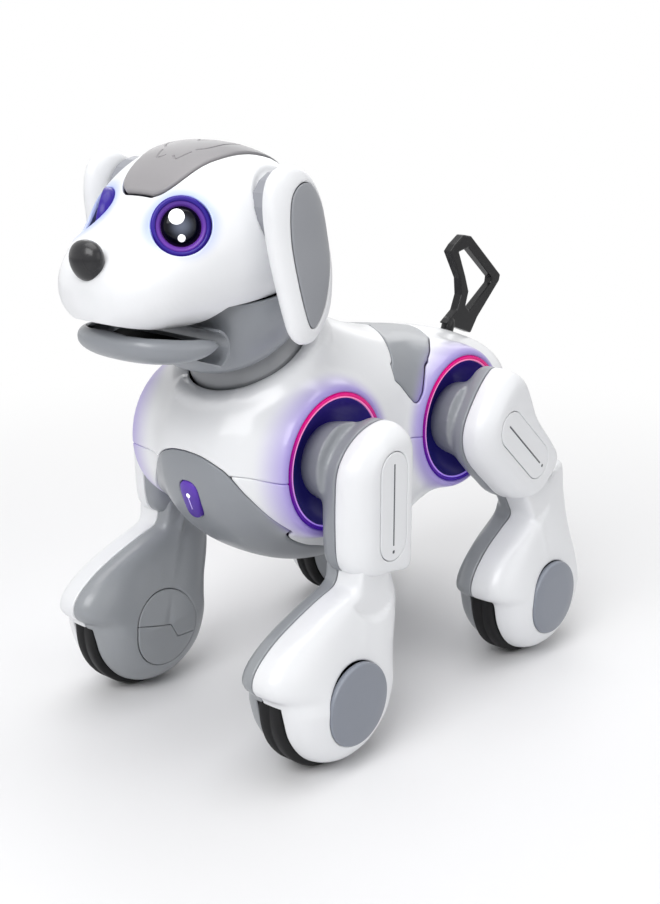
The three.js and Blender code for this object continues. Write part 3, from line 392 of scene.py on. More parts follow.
def turned(profile, place, axis, sides=96):
    """Lathe body: the profile lists (height along the axis, radius)."""
    axis = Vector(axis).normalized()
    side = axis.orthogonal().normalized()
    other = axis.cross(side)
    rings = []
    for height, radius in profile:
        ring = []
        for i in range(sides):
            turn = 2 * math.pi * i / sides
            spoke = side * math.cos(turn) + other * math.sin(turn)
            ring.append(Vector(place) + axis * height + spoke * max(radius, gap / 4))
        rings.append(ring)
    return loft(rings)


def unit_rows(rows):
    return rows / np.maximum(np.linalg.norm(rows, axis=1), tiny)[:, None]


def normals_of(points, tris):
    a, b, c = (points[tris[:, i]] for i in range(3))
    cross = np.cross(b - a, c - a)
    total = np.zeros_like(points)
    for i in range(3):
        for axis in range(3):
            total[:, axis] += np.bincount(tris[:, i], cross[:, axis], len(points))
    size = np.linalg.norm(total, axis=1)
    return total / np.maximum(size, tiny ** 2)[:, None]


def relaxed(points, tris, rounds, share=0.6, weight=None):
    edges = np.concatenate([tris[:, [0, 1]], tris[:, [1, 2]], tris[:, [2, 0]]])
    edges = np.unique(np.sort(edges, axis=1), axis=0)
    one, two = edges.T
    count = np.bincount(one, minlength=len(points)) + np.bincount(two, minlength=len(points))
    for _ in range(rounds):
        total = np.stack([
            np.bincount(one, points[two, i], len(points)) + np.bincount(two, points[one, i], len(points))
            for i in range(3)], axis=1)
        step = (total / count[:, None] - points) * share
        points = points + (step if weight is None else step * weight[:, None])
    return points


class Skin:
    def __init__(self, points, tris):
        self.points = np.asarray(points, float)
        self.tris = np.asarray(tris, int)
        self.normals = normals_of(self.points, self.tris)

    def split(self, field, levels):
        for level in levels:
            values = field(self.points) - level
            values[np.abs(values) < tiny] = tiny
            high = values > 0
            sides = high[self.tris]
            count = sides.sum(axis=1)
            crossing = (count == 1) | (count == 2)
            if not crossing.any():
                continue
            cut = self.tris[crossing]
            lone_high = count[crossing] == 1
            lone = np.argmax(sides[crossing] == lone_high[:, None], axis=1)
            order = (lone[:, None] + np.arange(3)) % 3
            a, b, c = np.take_along_axis(cut, order, axis=1).T
            pairs = np.sort(np.concatenate([np.stack([a, b], 1), np.stack([a, c], 1)]), axis=1)
            keys, place = np.unique(pairs[:, 0] * len(self.points) + pairs[:, 1], return_inverse=True)
            one, two = keys // len(self.points), keys % len(self.points)
            t = (values[one] / (values[one] - values[two]))[:, None]
            first = len(self.points)
            self.points = np.vstack([self.points, self.points[one] * (1 - t) + self.points[two] * t])
            blended = self.normals[one] * (1 - t) + self.normals[two] * t
            self.normals = np.vstack([self.normals, unit_rows(blended)])
            p, q = first + place[:len(a)], first + place[len(a):]
            fresh = [np.stack(t3, 1) for t3 in ((a, p, q), (p, b, c), (p, c, q))]
            self.tris = np.concatenate([self.tris[~crossing]] + fresh)
        return self

    def copy(self):
        twin = Skin.__new__(Skin)
        twin.points, twin.tris, twin.normals = self.points.copy(), self.tris.copy(), self.normals.copy()
        return twin

    def refined(self, field, reach, rounds=2):
        """Smaller triangles where the field is near zero."""
        for _ in range(rounds):
            close = np.abs(field(self.points)) < reach
            ends = np.stack([self.tris, np.roll(self.tris, -1, axis=1)], axis=2)
            marked = close[ends].any(axis=2)
            low, high = ends.min(axis=2), ends.max(axis=2)
            keys, place = np.unique((low * len(self.points) + high)[marked], return_inverse=True)
            one, two = keys // len(self.points), keys % len(self.points)
            middles = np.full(self.tris.shape, -1)
            middles[marked] = len(self.points) + place
            self.points = np.vstack([self.points, (self.points[one] + self.points[two]) / 2])
            self.normals = np.vstack([self.normals, unit_rows(self.normals[one] + self.normals[two])])
            count = marked.sum(axis=1)
            first_marked, after_plain = np.argmax(marked, axis=1), np.argmin(marked, axis=1) + 1
            turn = np.select([count == 1, count == 2], [first_marked, after_plain], 0)
            order = (turn[:, None] + np.arange(3)) % 3
            a, b, c = np.take_along_axis(self.tris, order, axis=1).T
            p, q, r = np.take_along_axis(middles, order, axis=1).T
            fresh = {0: [(a, b, c)], 1: [(a, p, c), (p, b, c)], 2: [(p, b, q), (a, p, q), (a, q, c)],
                     3: [(a, p, r), (p, b, q), (r, q, c), (p, q, r)]}
            self.tris = np.concatenate([np.stack(corners, 1)[count == k] for k, rows in fresh.items()
                                        for corners in rows])
        return self

    def engraved(self, field, width, depth):
        """Groove where the field is near zero."""
        near = lambda points: np.abs(field(points))
        self.refined(near, groove_reach)
        self.split(near, [width / 2, width / 4])
        share = np.clip(1 - near(self.points) / (width / 2), 0, 1)
        self.points -= self.normals * (depth * np.minimum(share * 2, 1))[:, None]
        return self

    def flattened(self, field, most):
        """Cut down to a flat where the field holds, sloping up beyond it."""
        limit = most + np.maximum(-field(self.points), 0) * 1.2
        low = self.points[:, 0] > limit
        self.points[low, 0] = limit[low]
        self.normals[low] = (1, 0, 0)
        return self

    def part(self, field, edge=rim, depth=wall):
        """Shell of the skin where the field is positive, with a rounded edge."""
        skin = self.copy().split(field, [0, edge * 0.12, edge * 0.4, edge])
        values = field(skin.points)
        keep = skin.tris[values[skin.tris].mean(axis=1) > 0]
        reach = np.clip(values / edge, 0, 1)
        sink = edge * (1 - np.sqrt(1 - (1 - reach) ** 2))
        return shell(skin.points, skin.normals, keep, sink, depth)


def shell(points, normals, keep, sink, depth):
    used, keep = np.unique(keep, return_inverse=True)
    keep = keep.reshape(-1, 3)
    points, normals, sink = points[used], normals[used], sink[used]
    outer = points - normals * sink[:, None]
    inner = points - normals * np.maximum(depth, sink)[:, None]
    count = len(points)
    edges = np.concatenate([keep[:, [0, 1]], keep[:, [1, 2]], keep[:, [2, 0]]])
    forward = edges[:, 0] * count + edges[:, 1]
    back = edges[:, 1] * count + edges[:, 0]
    a, b = edges[~np.isin(back, forward)].T
    skirt = np.concatenate([np.stack([b, a, a + count], 1), np.stack([b, a + count, b + count], 1)])
    return np.vstack([outer, inner]), np.concatenate([keep, keep[:, ::-1] + count, skirt])


def melted(bodies, voxel, rounds, weight=None, weighted_rounds=0):
    """One skin round overlapping bodies."""
    points, faces, first = [], [], 0
    for body_points, body_faces in bodies:
        points.append(body_points)
        faces += [tuple(int(i) + first for i in face) for face in body_faces]
        first += len(body_points)
    mesh = bpy.data.meshes.new("melt")
    mesh.from_pydata(np.vstack(points).tolist(), [], faces)
    thing = bpy.data.objects.new("melt", mesh)
    bpy.context.scene.collection.objects.link(thing)
    remesh = thing.modifiers.new("remesh", "REMESH")
    remesh.mode = "VOXEL"
    remesh.voxel_size = voxel
    graph = bpy.context.evaluated_depsgraph_get()
    result = thing.evaluated_get(graph).to_mesh()
    result.calc_loop_triangles()
    found = np.empty(len(result.vertices) * 3)
    result.vertices.foreach_get("co", found)
    tris = np.empty(len(result.loop_triangles) * 3, int)
    result.loop_triangles.foreach_get("vertices", tris)
    bpy.data.objects.remove(thing)
    bpy.data.meshes.remove(mesh)
    found, tris = found.reshape(-1, 3), tris.reshape(-1, 3)
    if weight is not None:
        found = relaxed(found, tris, weighted_rounds, weight=weight(found))
    for _ in range(rounds):
        found = relaxed(found, tris, 1, 0.6)
        found = relaxed(found, tris, 1, -0.62)
    return Skin(found, tris)


def step(value, low, high):
    t = np.clip((value - low) / (high - low), 0, 1)
    return t * t * (3 - 2 * t)


def band(value, marks):
    """1 between the middle two marks, fading to 0 at the outer two."""
    return step(value, marks[0], marks[1]) * (1 - step(value, marks[2], marks[3]))


# Pieces

def piece(name, points, faces, material, body, nodes=(), slot=None, smooth=True):
    mesh = bpy.data.meshes.new(name)
    placed = np.asarray(points) + [0, shift_y, 0]
    mesh.from_pydata(placed.tolist(), [], [tuple(map(int, face)) for face in faces])
    mesh.polygons.foreach_set("use_smooth", np.full(len(mesh.polygons), smooth))
    mesh.materials.append(material)
    mesh.update()
    thing = bpy.data.objects.new(name, mesh)
    bpy.context.scene.collection.objects.link(thing)
    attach(thing, body)
    if nodes:
        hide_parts(*nodes)
    return thing


# Materials

def new_material(name, roughness=0.4, coat=0.0, shine=0.5):
    material = bpy.data.materials.new(name)
    material.use_nodes = True
    shader = material.node_tree.nodes["Principled BSDF"]
    shader.inputs["Roughness"].default_value = roughness
    shader.inputs["Coat Weight"].default_value = coat
    shader.inputs["Specular IOR Level"].default_value = shine
    shader.inputs["Coat Roughness"].default_value = coat_roughness
    return material, material.node_tree, shader


def node(tree, kind, settings=None, **inputs):
    """A node with its inputs set or linked; _2 means the input at index 2."""
    made = tree.nodes.new(kind)
    for key, value in (settings or {}).items():
        setattr(made, key, value)
    for key, value in inputs.items():
        socket = made.inputs[int(key[1:]) if key[1:].isdigit() else key]
        if isinstance(value, bpy.types.NodeSocket):
            tree.links.new(value, socket)
        else:
            socket.default_value = value
    return made


def object_place(tree):
    return node(tree, "ShaderNodeTexCoord").outputs["Object"]


def colour_mix(tree, share, one, two, blend="MIX"):
    return node(tree, "ShaderNodeMix", {"data_type": "RGBA", "blend_type": blend},
                _0=share, _6=one, _7=two).outputs[2]


def math_node(tree, operation, one, two):
    return node(tree, "ShaderNodeMath", {"operation": operation}, _0=one, _1=two).outputs[0]


def moulded(tree, shader, colour, vary, rough):
    """Colour patches, uneven gloss and the fine grain of a moulded surface."""
    place = object_place(tree)
    patches = node(tree, "ShaderNodeTexNoise", Vector=place, Scale=patch_scale, Detail=4.0).outputs["Fac"]
    deep = [c * (1 - vary) for c in colour] + [1]
    light = [min(c * (1 + vary), 1) for c in colour] + [1]
    mixed = colour_mix(tree, patches, deep, light)
    fine = node(tree, "ShaderNodeTexNoise", Vector=place, Scale=grain_scale, Detail=2.0).outputs["Fac"]
    gloss = node(tree, "ShaderNodeMapRange", Value=patches, _3=rough[0], _4=rough[1]).outputs[0]
    tree.links.new(gloss, shader.inputs["Roughness"])
    bump = node(tree, "ShaderNodeBump", Height=fine, Strength=1.0, Distance=grain_height)
    tree.links.new(bump.outputs[0], shader.inputs["Normal"])
    tree.links.new(mixed, shader.inputs["Base Color"])
    return mixed


def glow_mask(tree, centre, near, reach):
    """1 beside a light, falling to 0, on both sides of the dog."""
    place = object_place(tree)
    folded = node(tree, "ShaderNodeVectorMath", {"operation": "ABSOLUTE"}, _0=place).outputs[0]
    parts = node(tree, "ShaderNodeSeparateXYZ", _0=place)
    fold = node(tree, "ShaderNodeSeparateXYZ", _0=folded)
    joined = node(tree, "ShaderNodeCombineXYZ", _0=fold.outputs[0], _1=parts.outputs[1], _2=parts.outputs[2])
    away = node(tree, "ShaderNodeVectorMath", {"operation": "DISTANCE"}, _0=joined.outputs[0],
                _1=(centre[0], centre[1] + shift_y, centre[2])).outputs["Value"]
    fade = node(tree, "ShaderNodeMapRange", {"interpolation_type": "SMOOTHERSTEP"}, Value=away,
                _1=near, _2=reach, _3=1.0, _4=0.0)
    return fade.outputs[0]


def lit(tree, shader, colour, lights):
    """Painted lamp light on a shell beside lights: the base colour is tinted towards each light's colour,
    with a faint painted glow; each light is (centre, near, reach, lamp colour, strength).
    """
    glow = (0, 0, 0, 1)
    for centre, near, reach, lamp_colour, strength in lights:
        mask = math_node(tree, "MULTIPLY", glow_mask(tree, centre, near, reach), strength)
        colour = colour_mix(tree, mask, colour, (*lamp_colour, 1))
        glow = colour_mix(tree, 1.0, glow, colour_mix(tree, mask, (0, 0, 0, 1), (*lamp_colour, 1)), "ADD")
    tree.links.new(colour, shader.inputs["Base Color"])
    tree.links.new(glow, shader.inputs["Emission Color"])
    shader.inputs["Emission Strength"].default_value = painted_shell_glow


def shell_material(name, colour, lights=(), rough=(0.27, 0.36), coat=0.25, shine=0.5):
    material, tree, shader = new_material(name, coat=coat, shine=shine)
    mixed = moulded(tree, shader, colour, 0.03, rough)
    # Lamp light of the hip rings or the eyes, painted on the shell
    if lights:
        lit(tree, shader, mixed, lights)
    return material


def ramp_by_height(tree, middle, half, stops):
    height = node(tree, "ShaderNodeSeparateXYZ", _0=object_place(tree)).outputs[2]
    share = node(tree, "ShaderNodeMapRange", Value=height, _1=middle - half, _2=middle + half).outputs[0]
    ramp = node(tree, "ShaderNodeValToRGB", Fac=share)
    for i, (at, colour) in enumerate(stops):
        mark = ramp.color_ramp.elements[i] if i < 2 else ramp.color_ramp.elements.new(at)
        mark.position = at
        mark.color = (*colour, 1)
    return ramp.outputs[0]


def light_material(name, middle, half, stops, strength):
    """Softly shining plastic; its colour stops run from middle - half up to middle + half."""
    material, tree, shader = new_material(name, 0.25, shine=0.25)
    colour = ramp_by_height(tree, middle, half, stops)
    tree.links.new(colour, shader.inputs["Base Color"])
    tree.links.new(colour, shader.inputs["Emission Color"])
    shader.inputs["Emission Strength"].default_value = strength
    return material


def crown_material():
    """Paler over the brow, darker towards the back of the head."""
    material, tree, shader = new_material("crown grey plastic", shine=0.35)
    mixed = moulded(tree, shader, (0.30, 0.29, 0.30), 0.03, (0.32, 0.42))
    back = node(tree, "ShaderNodeSeparateXYZ", _0=object_place(tree)).outputs[1]
    low, high = (crown_front + shift_y + share * crown_length for share in crown_shade_shares)
    share = node(tree, "ShaderNodeMapRange", {"interpolation_type": "SMOOTHSTEP"}, Value=back,
                 _1=low, _2=high, _3=0.0, _4=0.75).outputs[0]
    tree.links.new(colour_mix(tree, share, mixed, (0.075, 0.08, 0.09, 1)), shader.inputs["Base Color"])
    return material


def lens_material():
    """Black glass with a soft grey glow near its middle."""
    material, tree, shader = new_material("eye lens", shine=0.18)
    mixed = moulded(tree, shader, (0.002, 0.002, 0.006), 0.03, (0.05, 0.08))
    centre = [a + b for a, b in zip(eye_place, lens_glow_offset)]
    glow = glow_mask(tree, centre, 0.0, lens_glow_reach)
    tree.links.new(colour_mix(tree, glow, mixed, (0.16, 0.18, 0.24, 1)), shader.inputs["Base Color"])
    return material


crown_shade_shares = (0.1277, 0.7979)
white_colour = (0.83, 0.84, 0.86)
grey_colour = (0.265, 0.28, 0.305)
# Lamp light painted on the shells beside the hip rings (violet) and the eyes (pale blue)
violet = (0.20, 0.11, 0.56)
pale_blue = (0.22, 0.34, 0.85)
hip_painted_light = [((ring_plane, y, hip_height), *hip_painted_glow, violet, 0.80) for y in (hip_front_y, hip_rear_y)]
eye_painted_light = [(eye_place, *eye_painted_glow, pale_blue, 0.62)]

white = shell_material("white plastic", white_colour)
# Shell materials with that lamp light painted on
white_with_painted_hip_light = shell_material("white plastic with painted hip light", white_colour, hip_painted_light)
white_with_painted_eye_light = shell_material("white plastic with painted eye light", white_colour, eye_painted_light)
grey = shell_material("grey plastic", grey_colour, coat=0.15)
grey_with_painted_hip_light = shell_material("grey plastic with painted hip light", grey_colour, hip_painted_light, coat=0.15)
pale = shell_material("pale grey plastic", (0.37, 0.38, 0.40), coat=0.2)
ear_grey = shell_material("ear grey plastic", (0.29, 0.30, 0.325), coat=0.15)
foot_grey = shell_material("foot grey plastic", (0.30, 0.315, 0.335), coat=0.15)
slot_grey = shell_material("slot grey", (0.075, 0.08, 0.095), coat=0.1)
cap_grey = shell_material("hub cap grey", (0.235, 0.255, 0.30), rough=(0.3, 0.4), coat=0.1)
charcoal = shell_material("charcoal gloss", (0.013, 0.013, 0.015), rough=(0.20, 0.30), coat=0.0, shine=0.45)
black = shell_material("black gloss", (0.007, 0.007, 0.008), rough=(0.18, 0.28), coat=0.0, shine=0.35)
# Near-black painted shade, for sheets inside the mouth, behind the jaw and in the collar's gap
painted_shade_black = shell_material("dark inside", (0.006, 0.006, 0.007), rough=(0.5, 0.65), coat=0.0, shine=0.1)
rubber = shell_material("black rubber", (0.008, 0.008, 0.009), rough=(0.5, 0.7), coat=0.0, shine=0.25)
crown_grey = crown_material()
lens_black = lens_material()
ring_light = light_material("hip ring light", hip_height, ring_radius, [
    (0.0, (0.035, 0.008, 0.26)), (0.3, (0.075, 0.006, 0.24)), (0.62, (0.24, 0.004, 0.20)),
    (0.86, (0.56, 0.003, 0.17)), (1.0, (0.62, 0.003, 0.18))], 0.40)
ring_line = light_material("hip ring thin line", hip_height, ring_radius, [
    (0.0, (0.28, 0.20, 0.72)), (0.5, (0.58, 0.25, 0.58)), (1.0, (0.78, 0.22, 0.45))], 0.5)
cup_blue = light_material("hip cup", hip_height, ring_radius, [
    (0.0, (0.018, 0.014, 0.14)), (0.55, (0.016, 0.016, 0.15)), (1.0, (0.030, 0.014, 0.20))], 0.22)
eye_outer = light_material("eye outer ring", eye_place[2], eye_radius, [
    (0.0, (0.035, 0.018, 0.27)), (1.0, (0.028, 0.014, 0.22))], 0.35)
eye_inner = light_material("eye inner ring", eye_place[2], eye_radius, [
    (0.0, (0.16, 0.05, 0.38)), (1.0, (0.075, 0.03, 0.24))], 0.4)
spark = light_material("white light", far / 2, far / 2, [
    (0.0, (1.0, 1.0, 1.0)), (1.0, (0.98, 0.99, 1.0))], 0.6)
button_purple = light_material("button purple", button_z, button_half_height, [
    (0.0, (0.060, 0.022, 0.25)), (0.6, (0.085, 0.035, 0.33)), (1.0, (0.12, 0.05, 0.42))], 0.15)
button_mark = light_material("button mark", far / 2, far / 2, [
    (0.0, (0.55, 0.45, 0.85)), (1.0, (0.5, 0.4, 0.8))], 0.3)


# Shapes used by several parts

def rib(row, sides):
    """Superellipse between a low and a high point of the side view."""
    low_y, low_z, high_y, high_z, half, square = row
    turn = 2 * np.pi * np.arange(sides) / sides
    along = power(np.cos(turn), 2 / square) / 2
    across = half * power(np.sin(turn), 2 / square)
    return np.stack([across, (low_y + high_y) / 2 + (high_y - low_y) * along,
                     (low_z + high_z) / 2 + (high_z - low_z) * along], axis=1)


def rib_rings(rows, steps=110, sides=120):
    return [rib(between(rows, k / steps), sides) for k in range(steps + 1)]


def upright_rows(shares, front, length, floor, height, half_width):
    return [(front + y * length, floor + low * height, front + y * length, floor + high * height,
             width * half_width, square) for y, low, high, width, square in shares]


def lathe_line(shares, size, foot=0.0):
    """Lathe outline (height, radius) from shares of a size."""
    return [(foot + height * size, radius * size) for height, radius in shares]


def placed(points, matrix):
    matrix = np.array(matrix)
    return np.asarray(points) @ matrix[:3, :3].T + matrix[:3, 3]


def framed(field, matrix):
    inverse = np.array(matrix.inverted())
    return lambda points: field(points @ inverse[:3, :3].T + inverse[:3, 3])


def disc_on(matrix, profile, sides=96):
    """Lathe body in a local frame."""
    points, faces = turned(profile, (0, 0, 0), (0, 0, 1), sides)
    return placed(points, matrix), faces


def ring_on(matrix, profile):
    """Closed ring in a local frame."""
    points, faces = ring_body(profile, (0, 0, 0), (0, 0, 1), 128)
    return placed(points, matrix), faces


def ring_body(profile, place, axis, sides=160):
    """Closed ring: the profile is a loop of (height, radius)."""
    axis = Vector(axis).normalized()
    side = axis.orthogonal().normalized()
    other = axis.cross(side)
    points, faces = [], []
    count = len(profile)
    for i in range(sides):
        turn = 2 * math.pi * i / sides
        spoke = side * math.cos(turn) + other * math.sin(turn)
        points += [Vector(place) + axis * height + spoke * radius for height, radius in profile]
    for i in range(sides):
        for j in range(count):
            a, b = i * count + j, i * count + (j + 1) % count
            c, d = (b + count) % (sides * count), (a + count) % (sides * count)
            faces.append((a, b, c, d))
    points = np.array([tuple(p) for p in points])
    if body_volume(points, faces) < 0:
        faces = [face[::-1] for face in faces]
    return points, faces


def body_volume(points, faces):
    total = 0.0
    for face in faces:
        for i in range(1, len(face) - 1):
            total += np.dot(points[face[0]], np.cross(points[face[i]], points[face[i + 1]]))
    return total


def prism(loop, half):
    """Side-view outline drawn along X on both sides of the middle."""
    count = len(loop)
    points = [(-half, y, z) for y, z in loop] + [(half, y, z) for y, z in loop]
    faces = [tuple(range(count)), tuple(range(2 * count - 1, count - 1, -1))]
    faces += [(i, i + count, (i + 1) % count + count, (i + 1) % count) for i in range(count)]
    return points, faces


def raw(points, faces):
    mesh = bpy.data.meshes.new("raw")
    mesh.from_pydata([tuple(p) for p in points], [], faces)
    thing = bpy.data.objects.new("raw", mesh)
    bpy.context.scene.collection.objects.link(thing)
    return thing


def evaluated_mesh(thing):
    graph = bpy.context.evaluated_depsgraph_get()
    return bpy.data.meshes.new_from_object(thing.evaluated_get(graph))


def cut_out(body, tool):
    """The body with the tool's shape taken out."""
    thing, cutter = raw(*body), raw(*tool)
    cut = thing.modifiers.new("cut", "BOOLEAN")
    cut.operation = "DIFFERENCE"
    cut.object = cutter
    mesh = evaluated_mesh(thing)
    thing.modifiers.clear()
    thing.data = mesh
    bpy.data.objects.remove(cutter)
    return thing


def flat_piece(thing, name, material, body, nodes, slot):
    """Piece with flat faces from a modelled object, which is removed."""
    mesh = evaluated_mesh(thing)
    points = np.array([tuple(v.co) for v in mesh.vertices])
    faces = [tuple(p.vertices) for p in mesh.polygons]
    bpy.data.objects.remove(thing)
    piece(name, points, faces, material, body, nodes, slot, smooth=False)


def pair(label, shape, material, bodies, nodes=(), slot=None):
    """The same piece on both sides; the shape is made for the side +1 or -1."""
    for end, side, body in zip("lr", (1, -1), bodies):
        points, faces = shape(side)
        piece(label + end, points, faces, material, body, [name + end for name in nodes], slot)


def on_both(shape):
    """The left shape, or its mirror image for the right side."""
    points, faces = shape
    flipped = [tuple(face)[::-1] for face in faces]
    return lambda side: (points, faces) if side > 0 else (points * [-1, 1, 1], flipped)


def both_halves(half):
    """Outline from its half at x > 0, listed from the middle line to the middle line."""
    return np.vstack([half, half[::-1] * [-1, 1]])


# Torso

torso_shares = [
    (0.048, 0.735, 0.331, 0.997, 0.683, 2.1), (0.027, 0.676, 0.372, 0.965, 0.783, 2.2),
    (0.008, 0.585, 0.426, 0.923, 0.883, 2.4), (0.004, 0.465, 0.488, 0.884, 0.950, 2.6),
    (0.023, 0.338, 0.550, 0.859, 0.992, 2.7), (0.070, 0.211, 0.609, 0.842, 1.000, 2.7),
    (0.155, 0.092, 0.667, 0.824, 0.983, 2.7), (0.267, 0.021, 0.729, 0.806, 0.967, 2.7),
    (0.403, 0.020, 0.795, 0.782, 0.967, 2.6), (0.558, 0.080, 0.860, 0.745, 0.933, 2.4),
    (0.705, 0.150, 0.919, 0.700, 0.850, 2.4), (0.829, 0.235, 0.961, 0.640, 0.700, 2.4),
    (0.919, 0.268, 0.988, 0.570, 0.500, 2.4), (0.969, 0.380, 1.000, 0.521, 0.267, 2.2)]
boss_shares = [
    (-0.725, 1.075), (-0.275, 1.075), (-0.145, 1.05), (-0.0625, 1.0075), (-0.0175, 0.97), (0.0, 0.93),
    (0.0, 0.5), (0.0, 0.0)]
collar_shares = [
    (-0.4, 1.075), (-0.225, 1.125), (-0.1125, 1.125), (-0.045, 1.09), (-0.0075, 1.02), (0.0, 0.93),
    (-0.02, 0.8625), (-0.07, 0.825), (-0.2, 0.815), (-0.2, 0.0)]
plate_side_shares = [
    (0.030, 0.680), (0.036, 0.500), (0.045, 0.436), (0.060, 0.398), (0.101, 0.294), (0.142, 0.212),
    (0.195, 0.156), (0.241, 0.128), (0.285, 0.098), (0.330, 0.050), (0.360, -0.100)]
plate_front_shares = [
    (0.00, 0.552), (0.15, 0.548), (0.27, 0.537), (0.38, 0.518), (0.47, 0.494), (0.55, 0.462),
    (0.63, 0.420), (0.73, 0.365), (0.88, 0.300), (1.20, 0.200)]
saddle_low_shares = [
    (0.380, 0.800), (0.405, 0.758), (0.440, 0.706), (0.466, 0.650), (0.482, 0.622), (0.496, 0.650),
    (0.512, 0.704), (0.532, 0.750), (0.556, 0.772)]
saddle_front_shares = [
    (0.00, 0.576), (0.22, 0.536), (0.46, 0.498), (0.80, 0.447), (0.90, 0.428), (1.30, 0.420)]
saddle_rear_shares = [
    (1.30, 0.535), (0.94, 0.540), (0.81, 0.576), (0.54, 0.646), (0.33, 0.681), (0.00, 0.724)]
torso_origin = np.array([torso_front, torso_floor])
torso_size = np.array([torso_length, torso_height])
neck_place = (0.0, neck_y, neck_z)
neck_axis = (0.0, -math.sin(neck_tilt), math.cos(neck_tilt))
hips = {"fl": (1, hip_front_y), "fr": (-1, hip_front_y), "rl": (1, hip_rear_y), "rr": (-1, hip_rear_y)}


def in_torso(shares):
    return torso_origin + np.asarray(shares) * torso_size


def torso_softness(points):
    """How far the joints of the hip bosses and the collar are smoothed."""
    soft = np.zeros(len(points))
    for side, y in hips.values():
        away = np.hypot(points[:, 1] - y, points[:, 2] - hip_height)
        soft = np.maximum(soft, band(away, boss_soft) * (points[:, 0] * side > soft_reach))
    radius, height = axis_radius(points, neck_place, neck_axis)
    ring = band(radius, collar_soft) * (np.abs(height + collar_soft_drop) < soft_reach) * 0.3
    return np.maximum(soft, ring)


def torso_skin():
    rows = [(*in_torso(row[:2]), *in_torso(row[2:4]), row[4] * torso_half_width, row[5])
            for row in torso_shares]
    bodies = [loft(rib_rings(rows))]
    boss = lathe_line(boss_shares, boss_radius, ring_plane)
    for side, y in hips.values():
        bodies.append(turned(boss, (0, y, hip_height), (side, 0, 0)))
    bodies.append(turned(lathe_line(collar_shares, collar_radius), neck_place, neck_axis))
    return melted(bodies, torso_voxel, 4, torso_softness, 45)


def plate_field():
    """Where the chest plate lies, by its outline in the side view and in the front view."""
    side = smooth_line(in_torso(plate_side_shares))
    side = np.vstack([side, [[torso_front - far, side[-1][1]], [torso_front - far, side[0][1]]]])
    half = smooth_line([(x * torso_half_width, torso_floor + z * torso_height)
                        for x, z in plate_front_shares])
    half = np.vstack([half, [[far, half[-1][1]], [far, -far]]])
    return soft_of(plate_corner, inside(side, [1, 2]), inside(both_halves(half), [0, 2]))


def saddle_field():
    """Where the saddle lies, by its outline in the side view and from above."""
    low = smooth_line(in_torso(saddle_low_shares))
    behind = low[-1][0] + gap
    side = inside(np.vstack([low, [[behind, -far], [far, -far], [far, far], [low[0][0], far]]]), [1, 2])
    ends = []
    for shares in (saddle_front_shares, saddle_rear_shares):
        ends.append(smooth_line([(x * torso_half_width, torso_front + y * torso_length) for x, y in shares]))
    return all_of(side, inside(both_halves(np.vstack(ends)), [0, 1]))


def hip_hole(points):
    best = np.full(len(points), far)
    for y in (hip_front_y, hip_rear_y):
        away = np.hypot(points[:, 1] - y, points[:, 2] - hip_height) - ring_radius - gap
        best = np.minimum(best, np.maximum(away, hip_hole_x - np.abs(points[:, 0])))
    return best


def neck_hole(points):
    radius, height = axis_radius(points, neck_place, neck_axis)
    return np.maximum(radius - collar_bore - gap, -height - collar_depth)


def tail_hole(points):
    away = np.hypot(points[:, 0], points[:, 1] - tail_y)
    return np.maximum(away - pin_radius - gap, tail_hole_floor - points[:, 2])


def door_field():
    front, back = door_y - door_half_length, door_y + door_half_length
    flat = inside([(-door_half_width, front), (door_half_width, front),
                   (door_half_width, back), (-door_half_width, back)], [0, 1])
    return lambda points: np.minimum(flat(points), door_top_z - points[:, 2])


def make_torso():
    skin = torso_skin()
    on_plate, on_saddle, on_door = plate_field(), saddle_field(), door_field()
    holes = all_of(hip_hole, neck_hole, tail_hole)
    plain = all_of(away_from(on_plate, gap), holes)
    upper = all_of(plain, lambda p: p[:, 2] - seam_height - gap / 2, away_from(on_saddle, gap))
    lower = all_of(plain, lambda p: seam_height - p[:, 2] - gap / 2, away_from(on_door, gap))
    plate = all_of(within(on_plate), away_from(framed(on_button, button_frame), gap), holes)
    # The torso shells, chest plate and saddle have the hip rings' light painted on
    for name, field, material, cad_node, slot in (
            ("torso_upper", upper, white_with_painted_hip_light, "torso_upper_shell", "white_shell"),
            ("torso_lower", lower, white_with_painted_hip_light, "torso_lower_shell", "white_shell"),
            ("chest_plate_skin", plate, grey_with_painted_hip_light, "chest_plate", "grey_shell"),
            ("back_saddle_skin", within(on_saddle), grey_with_painted_hip_light, "back_saddle", "grey_shell"),
            ("battery_door_skin", within(on_door), white, "battery_door", "white_shell")):
        piece(name, *skin.part(field), material, "torso", [cad_node], slot)


# Chest button

shield_half_shares = [
    (0.00, 1.00), (0.52, 0.92), (0.80, 0.60), (0.80, 0.00), (0.66, -0.62), (0.40, -0.95), (0.00, -1.04)]
button_crown_shares = [
    (1.0, -1.0), (1.0, 0.0), (0.97, 0.075), (0.90, 0.125), (0.78, 0.1625), (0.5, 0.2), (0.2, 0.21875)]
button_dot_shares = [
    (0.0, 0.0), (0.0, 1.0), (0.4615, 1.0), (0.6154, 0.7692), (0.6923, 0.0)]
button_line_shares = (-0.4545, 0.2)
upper_rib, lower_rib = in_torso([torso_shares[3][:2], torso_shares[4][:2]])
button_slope = math.atan2(lower_rib[0] - upper_rib[0], upper_rib[1] - lower_rib[1])
button_share = (upper_rib[1] - button_z) / (upper_rib[1] - lower_rib[1])
button_y = upper_rib[0] + (lower_rib[0] - upper_rib[0]) * button_share
button_lean = Matrix.Rotation(math.pi / 2 + button_slope, 4, "X")
button_frame = Matrix.Translation((0, button_y, button_z)) @ button_lean


def shield_loop(grow=0.0):
    shares = shield_half_shares + [(-x, y) for x, y in shield_half_shares[-2:0:-1]]
    loop = smooth_loop([(x * button_half_width, y * button_half_height) for x, y in shares], 6)
    return loop * (1 + grow / button_half_width)


def on_button(points):
    flat = inside(shield_loop(), [0, 1])(points)
    return np.minimum(flat, points[:, 2] + button_depth)


